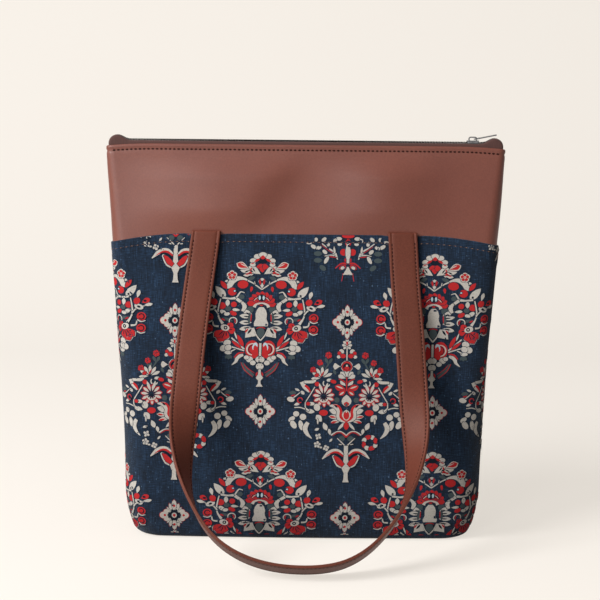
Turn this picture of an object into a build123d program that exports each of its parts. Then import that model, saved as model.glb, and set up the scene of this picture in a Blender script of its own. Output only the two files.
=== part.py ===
from build123d import *
import os
from math import atan, cos, hypot, pi, radians, sin, sqrt

os.makedirs("parts", exist_ok=True)

# Zip-top tote bag: printed cloth body, faux leather top band, two strap handles.
# X runs along the front, -Y is the front, Z is up. Origin: middle of the base.
# All sizes are in millimetres.

# Outline of the bag at four levels, measured over the outside of the cloth
base_width = 337
base_depth = 96
base_corner = 27
waist_height = 150
waist_width = 345.4
waist_depth = 77
waist_corner = 23
hem_height = 288
hem_width = 366.4
hem_depth = 35.8
hem_corner = 13
mouth_height = 369.5
mouth_width = 376.6
mouth_depth = 16.6
mouth_corner = 7
crown_share = 0.07
foot_rise = 50
foot_tuck = 9
foot_edge = 4
cloth_outlines = 7
band_outlines = 3
outline_bunching = 1.5
face_steps = 2
corner_steps = 3

# Cloth and faux leather
cloth = 0.8
hem_turn = 10
hem_flat = 200
hem_droop = 11
yoke_leather = 1.3
yoke_lap = 18
yoke_edge_flat = 280
yoke_edge_droop = 2.5
layer_gap = 0.05
lining_cloth = 0.4
lining_gap = 0.15

# Zip
tape = 0.8
tape_rise = 3.7
tape_tuck = 11.5
tape_end_gap = 1.2
tape_side_gap = 0.15
hump_start = 163
hump_rise = 5
hump_corner = 8
coil_width = 2.3
coil_height = 1.5
coil_end = 3
coil_slot = 1.4
slider_place = 155.8
slider_length = 11
slider_front_width = 9.4
slider_rear_width = 8.4
slider_plate = 1
slider_bridge = 0.8
slider_bridge_length = 3
bail_width = 2.6
bail_length = 8.2
bail_rise = 3.5
bail_wall = 1.1
pull_length = 20.5
pull_width = 7.4
pull_neck = 6.2
pull_plate = 1.1
pull_bar = 1.2
pull_root = 0.8
pull_eye = 4.6
pull_tilt = 11.5
running_gap = 0.3

# Strap handles
strap_width = 27
strap_leather = 2.8
strap_roll = 1.95
strap_left = -92
strap_right = 91
strap_crest = 2.85
strap_lean = 9
strap_sections = 32
strap_floor_lean = 32
twist_top = 165
twist_foot = 40
tail_leather = 0.55
tail_length = 15
notch_side = 0.5

# Values that follow from those above
reach = mouth_width
deep = base_depth
yoke_inset = 2 * cloth + layer_gap
inner_inset = yoke_inset + yoke_leather
lining_inset = inner_inset + lining_gap
rim_height = mouth_height + 2 * cloth
widths = (base_width, waist_width, hem_width, mouth_width)
depths = (base_depth, waist_depth, hem_depth, mouth_depth)
corners = (base_corner, waist_corner, hem_corner, mouth_corner)
tape_half_length = mouth_width / 2 - inner_inset - tape_end_gap
tape_low = mouth_height - tape_tuck
ridge_height = mouth_height + tape_rise
chain_top = ridge_height + coil_height
roll_height = hem_height + strap_crest - strap_roll
roll_reach = hem_depth / 2 + running_gap + strap_leather - strap_roll
notch_floor = roll_height - strap_roll - running_gap


# A size of the bag at any height: one smooth curve through its four levels
def size_at(height, sizes):
    levels = (0, waist_height, hem_height, rim_height)
    total = 0
    for level, size in zip(levels, sizes):
        share = 1
        for other in levels:
            if other != level:
                share *= (height - other) / (level - other)
        total += size * share
    return total


# The tapes fit between the bands at the mouth, wherever it is narrower
narrowest = min(mouth_depth, size_at(tape_low, depths))
tape_half_depth = narrowest / 2 - inner_inset - tape_side_gap


# The bag's outline at a height, set in from the outside by a given distance: a
# slightly crowned front and back, rounded corners and straight sides, as a
# polygon. It tucks in towards the foot and turns under there with a soft edge
def outline_points(height, inset):
    tuck = foot_tuck * max(0, 1 - height / foot_rise) ** 2
    edge = foot_edge - inset / 2
    under = min(edge, max(0, edge + inset - height))
    tuck += edge - sqrt(edge * edge - under * under)
    side = size_at(height, widths) / 2 - inset - tuck
    front = size_at(height, depths) / 2 - inset - tuck
    corner = size_at(height, corners) - inset
    run = side - corner
    crown = crown_share * front
    lean = 2 * atan(crown / run)
    face_radius = corner + run / sin(lean)
    quarter = []
    for step in range(face_steps + 1):
        angle = lean * step / face_steps
        quarter.append((face_radius * sin(angle), face_radius * (1 - cos(angle)) - front))
    for step in range(1, corner_steps + 1):
        angle = lean + (pi / 2 - lean) * step / corner_steps
        quarter.append((run + corner * sin(angle), corner * (1 - cos(angle)) + crown - front))
    half = quarter + [(x, -y) for x, y in reversed(quarter)]
    return half + [(-x, -y) for x, y in half[1:-1]]


# The bag's body, set in from the outside by a given distance: three outlines turn
# its foot edge, and the rest lie closer together towards the foot
def bag_form(inset):
    edge = foot_edge - inset / 2
    heights = [inset, inset + edge / 4, inset + edge]
    for step in range(1, cloth_outlines + 1):
        heights.append(inset + (hem_height - inset) * (step / cloth_outlines) ** outline_bunching)
    for step in range(1, band_outlines + 1):
        heights.append(hem_height + (rim_height - hem_height) * step / band_outlines)
    with BuildPart() as form:
        for height in heights:
            with BuildSketch(Plane.XY.offset(height)):
                with BuildLine():
                    Polyline(*outline_points(height, inset), close=True)
                make_face()
        loft(ruled=True)
    return form.part


# Everything under a line that is flat in the middle and droops towards both sides
def sheet_below(height, flat, droop):
    with BuildPart() as below:
        with BuildSketch(Plane.XZ):
            with BuildLine():
                top = Line((-flat / 2, height), (flat / 2, height))
                right = TangentArc(top @ 1, (reach / 2, height - droop), tangent=(1, 0))
                left = TangentArc(top @ 0, (-reach / 2, height - droop), tangent=(-1, 0))
                Polyline(right @ 1, (reach / 2, -deep), (-reach / 2, -deep), left @ 1)
            make_face()
        extrude(amount=deep, both=True)
    return below.part


# Room that a strap takes where it goes down behind the cloth's edge
def strap_room(side_gap, low, high):
    with BuildPart() as room:
        for place in (strap_left, strap_right):
            with BuildSketch(Plane.XY.offset(low)):
                with Locations((place, -deep / 2)):
                    Rectangle(strap_width + 2 * side_gap, deep)
            extrude(amount=high - low)
    return room.part


outer_form = bag_form(0)
cloth_back_form = bag_form(cloth)
hem_back_form = bag_form(2 * cloth)

# Printed cloth: one piece each for front and back, its top edge turned in and
# its edge pressed down a little where each strap passes over it
with BuildPart() as front_panel:
    add(outer_form)
    add(sheet_below(hem_height, hem_flat, hem_droop), mode=Mode.INTERSECT)
    add(hem_back_form, mode=Mode.SUBTRACT)
    with BuildPart(mode=Mode.PRIVATE) as single_ply:
        add(cloth_back_form)
        add(sheet_below(hem_height - hem_turn, hem_flat, hem_droop), mode=Mode.INTERSECT)
    add(single_ply.part, mode=Mode.SUBTRACT)
    with BuildPart(mode=Mode.PRIVATE) as tail_pocket:
        add(cloth_back_form)
        add(strap_room(notch_side, hem_height - 2 * hem_turn, mouth_height), mode=Mode.INTERSECT)
    add(tail_pocket.part, mode=Mode.SUBTRACT)
    add(strap_room(notch_side, notch_floor, mouth_height), mode=Mode.SUBTRACT)
    split(bisect_by=Plane.XZ, keep=Keep.TOP)

with BuildPart() as back_panel:
    add(mirror(front_panel.part, about=Plane.XZ, mode=Mode.PRIVATE))

# Faux leather band above the cloth, one piece each for front and back
with BuildPart() as front_yoke:
    add(bag_form(yoke_inset))
    add(sheet_below(mouth_height, yoke_edge_flat, yoke_edge_droop), mode=Mode.INTERSECT)
    add(bag_form(inner_inset), mode=Mode.SUBTRACT)
    add(sheet_below(hem_height - yoke_lap, hem_flat, hem_droop), mode=Mode.SUBTRACT)
    split(bisect_by=Plane.XZ, keep=Keep.TOP)

with BuildPart() as back_yoke:
    add(mirror(front_yoke.part, about=Plane.XZ, mode=Mode.PRIVATE))

# Thin lining bag that hangs inside and is sewn in just under the zip
with BuildPart() as lining:
    add(bag_form(lining_inset))
    add(bag_form(lining_inset + lining_cloth), mode=Mode.SUBTRACT)
    split(bisect_by=Plane.XY.offset(tape_low - running_gap), keep=Keep.BOTTOM)


# The closed zip seen from the front, spread evenly by a given distance: flat along
# the chain, with a soft hump at each end where the tape folds up before it goes
# down to the side
def zip_side(spread):
    half_run = (tape_half_length - hump_corner - hump_start) / 2
    slope = 2 * atan(hump_rise / 2 / half_run)
    flank_x = hump_start + half_run - spread * sin(slope)
    flank_z = ridge_height + hump_rise / 2 + spread * cos(slope)
    crest_x = tape_half_length - hump_corner
    crest_z = ridge_height + hump_rise + spread
    side_x = tape_half_length + spread
    side_z = ridge_height + hump_rise - hump_corner
    with BuildSketch() as outline:
        with BuildLine():
            chain = Line((0, ridge_height + spread), (hump_start, ridge_height + spread))
            rise = TangentArc(chain @ 1, (flank_x, flank_z), tangent=chain % 1)
            crest = TangentArc(rise @ 1, (crest_x, crest_z), tangent=rise % 1)
            fall = TangentArc(crest @ 1, (side_x, side_z), tangent=crest % 1)
            Polyline(fall @ 1, (side_x, tape_low), (0, tape_low))
            mirror(about=Plane.YZ)
        make_face()
    return outline.sketch


# Woven tapes, front and back, each an angle of cloth: one leg is sewn behind the
# yoke's edge and the other carries the teeth towards the middle. A crease parts
# each humped end from the straight run
with BuildPart() as zip_tapes:
    with BuildSketch(Plane.XZ):
        add(zip_side(0))
    extrude(amount=tape_half_depth, both=True)
    with BuildSketch(Plane.XY.offset(tape_low)):
        RectangleRounded(2 * tape_half_length, 2 * tape_half_depth, mouth_corner - inner_inset)
    extrude(amount=2 * (chain_top - tape_low), mode=Mode.INTERSECT)
    with BuildSketch(Plane.XZ):
        add(zip_side(-tape))
        with Locations((0, tape_low)):
            Rectangle(2 * (tape_half_length - tape), 2 * tape)
    extrude(amount=tape_half_depth - tape, both=True, mode=Mode.SUBTRACT)
    with BuildSketch(Plane.XZ):
        Rectangle(2 * reach, 2 * reach)
    extrude(amount=coil_slot / 2, both=True, mode=Mode.SUBTRACT)
    for crease in (-hump_start, hump_start):
        with Locations((crease, 0, ridge_height)):
            Box(layer_gap, deep, deep, mode=Mode.SUBTRACT)

with BuildPart() as zip_tape_front:
    add(zip_tapes.part)
    split(bisect_by=Plane.XZ, keep=Keep.TOP)

with BuildPart() as zip_tape_back:
    add(mirror(zip_tape_front.part, about=Plane.XZ, mode=Mode.PRIVATE))

# Nylon coil along each tape's edge, over the humps too
with BuildPart() as zip_coil_front:
    with BuildSketch(Plane.XZ.offset(coil_slot / 2)):
        add(zip_side(coil_height))
        add(zip_side(0), mode=Mode.SUBTRACT)
        with Locations((0, ridge_height)):
            Rectangle(2 * (tape_half_length - coil_end), 4 * hump_rise, mode=Mode.INTERSECT)
    extrude(amount=coil_width)

with BuildPart() as zip_coil_back:
    add(mirror(zip_coil_front.part, about=Plane.XZ, mode=Mode.PRIVATE))

# Slider: an upper and a lower plate around the chain, joined by a narrow bridge
# between the teeth, with side flanges and a bail for the pull, cast in one
plate_low = chain_top + running_gap
plate_top = plate_low + slider_plate
keel_top = ridge_height - tape - running_gap
pull_place = slider_place + bail_length / 2 - bail_wall - running_gap - pull_bar / 2
pull_height = plate_top + running_gap + hypot(pull_root, pull_plate / 2)

with BuildPart() as zip_slider:
    with BuildSketch(Plane.XY.offset(plate_low)) as slider_plan:
        with BuildLine():
            rear = slider_place - slider_length / 2
            nose = slider_place + slider_length / 2
            Polyline(
                (rear, -slider_rear_width / 2),
                (nose, -slider_front_width / 2),
                (nose, slider_front_width / 2),
                (rear, slider_rear_width / 2),
                close=True,
            )
        make_face()
        fillet(slider_plan.vertices(), radius=coil_height)
    extrude(amount=slider_plate)
    with BuildSketch(Plane.XY.offset(ridge_height + running_gap)):
        add(slider_plan.sketch)
        with Locations((slider_place, 0)):
            clear_width = 2 * (coil_slot / 2 + coil_width + running_gap)
            Rectangle(2 * slider_length, clear_width, mode=Mode.SUBTRACT)
    extrude(amount=coil_height)
    with BuildSketch(Plane.XY.offset(keel_top)) as keel_plan:
        with Locations((slider_place, 0)):
            keel_width = 2 * (tape_half_depth - tape - running_gap)
            RectangleRounded(slider_length, keel_width, coil_height)
    extrude(amount=-slider_plate)
    with BuildSketch(Plane.XY.offset(keel_top - slider_plate / 2)):
        with Locations((nose - slider_bridge_length, 0)):
            RectangleRounded(slider_bridge_length, slider_bridge, slider_bridge / 3)
    extrude(amount=plate_top - keel_top)
    with BuildSketch(Plane.XZ) as bail_side:
        with Locations((slider_place, plate_top)):
            RectangleRounded(bail_length, 2 * bail_rise, 2 * bail_wall)
            inner_length = bail_length - 2 * bail_wall
            RectangleRounded(inner_length, 2 * (bail_rise - bail_wall), bail_wall, mode=Mode.SUBTRACT)
        with Locations((slider_place, plate_top - bail_rise - slider_plate / 2)):
            Rectangle(2 * bail_length, 2 * bail_rise, mode=Mode.SUBTRACT)
    extrude(amount=bail_width / 2, both=True)

# Pull tab: a flat plate whose eye goes round the bail
pull_plane = Plane(
    origin=(pull_place, 0, pull_height),
    x_dir=(cos(radians(pull_tilt)), 0, sin(radians(pull_tilt))),
    z_dir=(-sin(radians(pull_tilt)), 0, cos(radians(pull_tilt))),
)
with BuildPart() as zip_pull:
    with BuildSketch(pull_plane) as pull_plan:
        with BuildLine():
            Polyline(
                (-pull_root, -pull_neck / 2),
                (pull_length, -pull_width / 2),
                (pull_length, pull_width / 2),
                (-pull_root, pull_neck / 2),
                close=True,
            )
        make_face()
        tip = pull_plan.vertices().group_by(Axis.X)[-1]
        fillet(tip, radius=pull_width / 3)
        eye_width = bail_width + 2 * running_gap
        with Locations((pull_eye, 0)):
            to_root = (Align.MAX, Align.CENTER)
            Rectangle(pull_eye + 2 * pull_root, eye_width, align=to_root, mode=Mode.SUBTRACT)
    extrude(amount=pull_plate / 2, both=True)
    with BuildSketch(Plane.XZ):
        with Locations((pull_place, pull_height)):
            Circle(pull_bar / 2)
    extrude(amount=eye_width / 2 + pull_bar / 2, both=True)

# Strap handle: a flat strap of doubled leather. Each end comes up from behind the
# cloth's edge and rolls over it, the legs hang in front and turn edge-on towards
# the floor, where the loop lies on its back edge
lean_rise = strap_roll - strap_leather / 2
lean_front = cos(radians(strap_lean))
lean_up = sin(radians(strap_lean))
leg_start_y = -roll_reach - lean_rise * lean_front
leg_start_z = roll_height + lean_rise * lean_up


# A point of the strap's route: its place along the front, how far the strap's middle
# stands off the cloth's face, and its height
def off_face(place, stand_off, height):
    return (place, -size_at(height, depths) / 2 - stand_off, height)


with BuildLine() as strap_route:
    Spline(
        (strap_left, leg_start_y, leg_start_z),
        off_face(-97.5, 4.8, 246),
        off_face(-103, 12.6, 199),
        off_face(-107.5, 27, 146),
        off_face(-108.5, 47.3, 96),
        off_face(-99, 67.6, 59),
        off_face(-72, 88.7, 27.5),
        off_face(-38, 98.2, 12.8),
        off_face(0, 101.8, 8.7),
        off_face(38, 98.2, 13.4),
        off_face(74, 81.8, 36),
        off_face(94.5, 64, 66),
        off_face(102, 44.1, 104),
        off_face(100.5, 26.2, 148),
        off_face(97.5, 12.1, 199),
        off_face(93.5, 4.5, 247),
        (strap_right, leg_start_y, leg_start_z),
        tangents=[(0, -lean_up, -lean_front), (0, lean_up, lean_front)],
    )


# Where the strap lies across its route: the direction of its width
def strap_across(spot, along):
    lean = strap_floor_lean + (strap_lean - strap_floor_lean) * spot.Z / hem_height
    facing = Vector(0, -cos(radians(lean)), sin(radians(lean)))
    facing = (facing - along * facing.dot(along)).normalized()
    outward = along.cross(facing)
    share = min(max((twist_top - spot.Z) / (twist_top - twist_foot), 0), 1)
    twist = radians(90) * share * share * (3 - 2 * share)
    return outward * cos(twist) + facing * sin(twist)


with BuildPart() as front_handle:
    route = strap_route.edge()
    for step in range(strap_sections + 1):
        spot = route @ (step / strap_sections)
        along = (route % (step / strap_sections)).normalized()
        with BuildSketch(Plane(spot, x_dir=strap_across(spot, along), z_dir=along)):
            Rectangle(strap_width, strap_leather)
    loft(ruled=True)
    for place in (strap_left, strap_right):
        with BuildSketch(Plane.YZ.offset(place)):
            with Locations((-roll_reach, roll_height)):
                Circle(strap_roll)
        extrude(amount=strap_width / 2, both=True)

with BuildPart() as back_handle:
    add(mirror(front_handle.part, about=Plane.XZ, mode=Mode.PRIVATE))

# The thinned ends of each strap, sewn in between the cloth and the yoke
tail_inset = (cloth + yoke_inset - tail_leather) / 2
with BuildPart() as front_handle_ends:
    add(bag_form(tail_inset))
    add(bag_form(tail_inset + tail_leather), mode=Mode.SUBTRACT)
    tail_top = notch_floor - running_gap
    add(strap_room(0, tail_top - tail_length, tail_top), mode=Mode.INTERSECT)

with BuildPart() as back_handle_ends:
    add(mirror(front_handle_ends.part, about=Plane.XZ, mode=Mode.PRIVATE))

for piece, node in [
    (front_panel, "front_panel"),
    (back_panel, "back_panel"),
    (front_yoke, "front_yoke"),
    (back_yoke, "back_yoke"),
    (lining, "lining"),
    (zip_tape_front, "zip_tape_front"),
    (zip_tape_back, "zip_tape_back"),
    (zip_coil_front, "zip_coil_front"),
    (zip_coil_back, "zip_coil_back"),
    (zip_slider, "zip_slider"),
    (zip_pull, "zip_pull"),
    (front_handle, "front_handle"),
    (back_handle, "back_handle"),
    (front_handle_ends, "front_handle_ends"),
    (back_handle_ends, "back_handle_ends"),
]:
    piece.part.label = node
    export_step(piece.part, f"parts/{node}.step")
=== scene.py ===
from math import cos, pi, radians, sin, tau

import bmesh
import bpy
import numpy as np
from mathutils import Matrix, Vector


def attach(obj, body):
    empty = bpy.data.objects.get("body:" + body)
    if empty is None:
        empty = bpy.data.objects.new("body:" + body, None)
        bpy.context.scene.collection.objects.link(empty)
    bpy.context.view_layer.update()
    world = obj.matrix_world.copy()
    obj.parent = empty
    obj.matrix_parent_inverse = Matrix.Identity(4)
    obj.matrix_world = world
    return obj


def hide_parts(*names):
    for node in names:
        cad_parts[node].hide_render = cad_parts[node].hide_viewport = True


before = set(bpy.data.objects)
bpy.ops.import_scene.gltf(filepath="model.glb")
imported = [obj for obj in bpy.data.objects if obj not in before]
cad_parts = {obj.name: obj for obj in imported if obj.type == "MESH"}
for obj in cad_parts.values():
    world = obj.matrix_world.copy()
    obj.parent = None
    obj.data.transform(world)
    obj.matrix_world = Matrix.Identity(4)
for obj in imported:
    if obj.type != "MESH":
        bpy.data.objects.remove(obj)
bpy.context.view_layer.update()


# ---- Printed cloth body ----
# Front and back are one piece of slub cotton each, sewn together down the sides and
# under the base. Sizes are in millimetres, measured over the outside of the cloth at
# four levels: the base, the waist, the cloth's edge and the mouth.
MM = 0.001
MERGE = 1e-6
LEVELS = (0, 150, 288, 371.1)
WIDTHS = (337, 345.4, 366.4, 376.6)
DEPTHS = (96, 77, 35.8, 16.6)
CORNERS = (27, 23, 13, 7)
CROWN_SHARE = 0.07
FOOT_RISE, FOOT_TUCK, FOOT_EDGE = 50, 9, 4
HEM_HEIGHT, HEM_FLAT, HEM_DROOP = 288, 200, 11
CLOTH_THICKNESS = 0.7
HEM_FOLD = 0.85
STRAP_PLACES = (-92, 91)
STRAP_WIDTH, STRAP_PRESS = 27, 0.8
HEM_STITCH_DROP = 7.2
SEAM_DEPTH, HEM_PUFF, HEM_DIP, HEM_GATHER, FOOT_SINK = 1.1, 0.3, 0.35, 0.12, 1.6


def linear(colour):
    """An sRGB hex colour as linear RGBA."""
    parts = [int(colour[i:i + 2], 16) / 255 for i in (1, 3, 5)]
    return (*[c / 12.92 if c <= 0.04045 else ((c + 0.055) / 1.055) ** 2.4 for c in parts], 1)


def add_node(tree, kind, inputs=(), **settings):
    """Adds a node with its settings; inputs are values or sockets to link from."""
    made = tree.nodes.new(kind)
    for name, value in settings.items():
        setattr(made, name, value)
    for socket, value in dict(inputs).items():
        if isinstance(value, bpy.types.NodeSocket):
            tree.links.new(value, made.inputs[socket])
        else:
            made.inputs[socket].default_value = value
    return made


def new_material(name, **values):
    """A material with one Principled shader; values set its sockets, _ for a space."""
    material = bpy.data.materials.new(name)
    material.use_nodes = True
    tree = material.node_tree
    shader = tree.nodes["Principled BSDF"]
    for socket, value in values.items():
        shader.inputs[socket.replace("_", " ")].default_value = value
    return material, tree, shader


def maths(tree, operation, *values):
    """The result of one operation on values or sockets."""
    return add_node(tree, "ShaderNodeMath", dict(enumerate(values)),
                    operation=operation).outputs[0]


def ranged(tree, value, low=0.0, high=1.0, first=0.0, last=1.0):
    """A value between low and high, turned into one between first and last."""
    return add_node(tree, "ShaderNodeMapRange", {
        "Value": value, "From Min": low, "From Max": high, "To Min": first, "To Max": last,
    }).outputs[0]


def mixed(tree, share, first, second):
    """A colour between two, each a hex colour or a socket."""
    ends = [linear(c) if isinstance(c, str) else c for c in (first, second)]
    return add_node(tree, "ShaderNodeMix", {0: share, 6: ends[0], 7: ends[1]},
                    data_type="RGBA").outputs[2]


def object_place(tree):
    """Coordinates on the piece itself, in metres."""
    return add_node(tree, "ShaderNodeTexCoord").outputs["Object"]


def noise(tree, place, scale, detail):
    """Cloudy noise, its scale per metre."""
    return add_node(tree, "ShaderNodeTexNoise", {"Vector": place, "Scale": scale, "Detail": detail}
                    ).outputs["Fac"]


def dress(tree, shader, colour, height=None, strength=0.0, depth=0.0):
    """Links a colour, and a bump of a depth in millimetres where a height is given."""
    tree.links.new(colour, shader.inputs["Base Color"])
    if height is not None:
        bump = add_node(tree, "ShaderNodeBump", {"Height": height, "Strength": strength,
                                                 "Distance": depth * MM})
        tree.links.new(bump.outputs[0], shader.inputs["Normal"])


def size_at(z, sizes):
    """A size of the bag at height z: one smooth curve through its four levels."""
    total = 0
    for level, size in zip(LEVELS, sizes):
        share = 1
        for other in LEVELS:
            if other != level:
                share = share * (z - other) / (level - other)
        total = total + size * share
    return total


def outline(z, inset):
    """Side, front, corner radius, crown, lean and face radius of the outline at z."""
    tuck = FOOT_TUCK * np.maximum(0, 1 - z / FOOT_RISE) ** 2
    edge = FOOT_EDGE - inset / 2
    under = np.clip(edge + inset - z, 0, edge)
    tuck = tuck + edge - np.sqrt(edge ** 2 - under ** 2)
    side = size_at(z, WIDTHS) / 2 - inset - tuck
    front = size_at(z, DEPTHS) / 2 - inset - tuck
    corner = size_at(z, CORNERS) - inset
    crown = CROWN_SHARE * front
    lean = 2 * np.arctan(crown / (side - corner))
    return side, front, corner, crown, lean, corner + (side - corner) / np.sin(lean)


def half_girth(z, inset=0.0):
    """Length along the outline from the middle of the front to the side seam."""
    side, front, corner, crown, lean, radius = outline(z, inset)
    return radius * lean + corner * (pi / 2 - lean) + front - crown - corner


def wall(u, z, inset=0.0, relief=0.0):
    """Points on the front half of the bag, u along the outline from the middle."""
    given = [np.asarray(a, float) for a in (u, z, inset, relief)]
    u, z, inset, relief = np.broadcast_arrays(*given)
    side, front, corner, crown, lean, radius = outline(z, inset)
    face = radius * lean
    bend = face + corner * (pi / 2 - lean)
    run = np.minimum(np.abs(u), bend + front - crown - corner)
    angle = np.where(run < face, run / radius, np.minimum(lean + (run - face) / corner, pi / 2))
    flat = run < face
    x = np.where(flat, radius * np.sin(angle), side - corner + corner * np.sin(angle))
    y = np.where(flat, radius * (1 - np.cos(angle)), crown + corner * (1 - np.cos(angle)))
    y = y - front + np.maximum(run - bend, 0)
    x, y = x + relief * np.sin(angle), y - relief * np.cos(angle)
    return np.stack([np.sign(u) * x, y, z], -1)


def droop(x, flat, amount):
    """How far an edge that is level over a middle part sinks towards the sides."""
    reach = WIDTHS[3] / 2 - flat / 2
    radius = (reach ** 2 + amount ** 2) / (2 * amount)
    past = np.clip(np.abs(x) - flat / 2, 0, reach)
    return radius - np.sqrt(radius ** 2 - past ** 2)


def ridge(distance, width):
    """A smooth ridge along a line: 1 on the line, nearly 0 at twice its width."""
    return np.exp(-(distance / width) ** 2)


def hem_line(u):
    """Height of the cloth's edge, pressed down where the straps cross it."""
    u = np.asarray(u, float)
    x = wall(u, HEM_HEIGHT)[..., 0]
    pressed = sum(STRAP_PRESS * ridge(np.maximum(np.abs(x - place) - STRAP_WIDTH / 2, 0), 4)
                  for place in STRAP_PLACES)
    return HEM_HEIGHT - droop(x, HEM_FLAT, HEM_DROOP) - pressed


def cloth_relief(u, z):
    """Soft waves, the side seam's groove and the hem's puff, outwards from the wall."""
    below = hem_line(u) - z
    stitched = below - HEM_STITCH_DROP
    calm = np.clip(z / 40, 0, 1) * np.clip((below - 12) / 60, 0, 1)
    waves = 0.9 * np.sin(u / 33 + z / 90 + 0.7) * np.sin(z / 41 + 0.4)
    waves = waves + 0.5 * np.sin(u / 15 - z / 50 + 2.1) * np.sin(z / 70 + u / 80)
    seam = ridge(half_girth(z) - np.abs(u), 2.4)
    puff = HEM_PUFF * ridge(below - 3.4, 2.2)
    dip = HEM_DIP * ridge(stitched, 1.1)
    gather = HEM_GATHER * np.sin(u / 0.83) * ridge(stitched, 3)
    foot = FOOT_SINK * np.clip(1 - z / 9, 0, 1) ** 2
    return calm * waves - SEAM_DEPTH * seam + puff - dip + gather - foot


def edited(mesh, *steps):
    """Passes a mesh through bmesh and runs each step on it."""
    edit = bmesh.new()
    edit.from_mesh(mesh)
    for step in steps:
        step(edit)
    edit.to_mesh(mesh)
    edit.free()


def link(name, data):
    """An object in the scene that holds a mesh, a light or a camera."""
    made = bpy.data.objects.new(name, data)
    bpy.context.scene.collection.objects.link(made)
    return made


def mesh_piece(name, points, faces, flat, materials, *steps, colours=()):
    """A smooth mesh from points, faces and flat places in millimetres for its UV map."""
    mesh = bpy.data.meshes.new(name)
    mesh.from_pydata((points * MM).tolist(), [], faces)
    if colours:
        mesh.polygons.foreach_set("material_index", colours)
    layer = mesh.uv_layers.new(name="UVMap")
    corners = np.zeros(len(mesh.loops), int)
    mesh.loops.foreach_get("vertex_index", corners)
    layer.data.foreach_set("uv", (flat[corners] * MM).ravel())
    edited(mesh, *steps)
    mesh.shade_smooth()
    for material in materials:
        mesh.materials.append(material)
    return link(name, mesh)


def grid_piece(name, points, uv, materials, body, *nodes):
    """A sheet of quads through rows of points."""
    rows, columns = points.shape[:2]
    index = np.arange(rows * columns).reshape(rows, columns)
    quads = np.stack([index[:-1, :-1], index[:-1, 1:], index[1:, 1:], index[1:, :-1]], -1)
    made = mesh_piece(
        name, points.reshape(-1, 3), quads.reshape(-1, 4).tolist(), uv.reshape(-1, 2), materials,
        lambda edit: bmesh.ops.remove_doubles(edit, verts=edit.verts, dist=MERGE),
        lambda edit: bmesh.ops.dissolve_degenerate(edit, edges=edit.edges, dist=MERGE / 10))
    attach(made, body)
    if nodes:
        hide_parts(*nodes)
    return made


def thicken(piece, thickness):
    """Gives a sheet its thickness, inwards from the face that shows."""
    solid = piece.modifiers.new("Thickness", "SOLIDIFY")
    solid.thickness = thickness * MM
    solid.offset = -1
    return piece


def turned(points):
    """The same points on the back of the bag."""
    return points * np.array([-1, -1, 1])


def both_sides(label, points, uv, material, thickness, *nodes):
    """The same sheet on the front and, turned round, on the back of the bag."""
    return [thicken(grid_piece(f"{side}_{label}", spots, uv, [material], "bag", node), thickness)
            for side, spots, node in zip(("front", "back"), (points, turned(points)), nodes)]


# Slub cotton dyed navy: uneven yarns give short paler and darker streaks both ways.
# The weave is drawn at 1 mm, about twice its real spacing, so that it shows.
cotton, tree, shader = new_material("indigo_slub_cotton", Roughness=0.92, Specular_IOR_Level=0.18,
                                    Sheen_Weight=0.12, Sheen_Roughness=0.5)
WARP_PITCH = 1.0


def weave_height(tree):
    """Plain weave from two crossed waves, on the cloth's own UV in metres."""
    uv = add_node(tree, "ShaderNodeUVMap", uv_map="UVMap").outputs["UV"]
    split = add_node(tree, "ShaderNodeSeparateXYZ", {0: uv})
    across, along = [maths(tree, "SINE", maths(tree, "MULTIPLY", split.outputs[axis],
                                               tau / (WARP_PITCH * MM))) for axis in ("X", "Y")]
    return uv, maths(tree, "MULTIPLY", across, along)


def streaks(tree, uv, across, along, detail=2.0):
    """Noise drawn out along one direction, as an uneven yarn shows; sizes in mm."""
    stretched = add_node(tree, "ShaderNodeMapping", {
        "Vector": uv, "Scale": (1 / (across * MM), 1 / (along * MM), 1)})
    return add_node(tree, "ShaderNodeTexNoise", {
        "Vector": stretched.outputs[0], "Scale": 1.0, "Detail": detail, "Roughness": 0.6,
    }).outputs["Fac"]


uv, weave = weave_height(tree)
yarns = maths(tree, "ADD", streaks(tree, uv, 0.9, 14), streaks(tree, uv, 6, 0.9))
yarns = maths(tree, "MULTIPLY_ADD", streaks(tree, uv, 22, 30, 1.0), 0.4, yarns)
dye = add_node(tree, "ShaderNodeValToRGB", {"Fac": ranged(tree, yarns, 0.92, 1.58)})
dye.color_ramp.elements[0].color = linear("#101823")
dye.color_ramp.elements[1].color = linear("#2b435f")
dye.color_ramp.elements.new(0.5).color = linear("#1a2a3d")
fleck = ranged(tree, streaks(tree, uv, 1.6, 2.4, 0.0), 0.76, 0.84, last=0.55)
surface = maths(tree, "ADD", weave, maths(tree, "MULTIPLY", yarns, 0.8))
dress(tree, shader, mixed(tree, fleck, dye.outputs[0], "#5c7897"), surface, 0.5, 0.25)

CLOTH_COLUMNS = 150
share = np.linspace(-1, 1, CLOTH_COLUMNS + 1)


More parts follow.
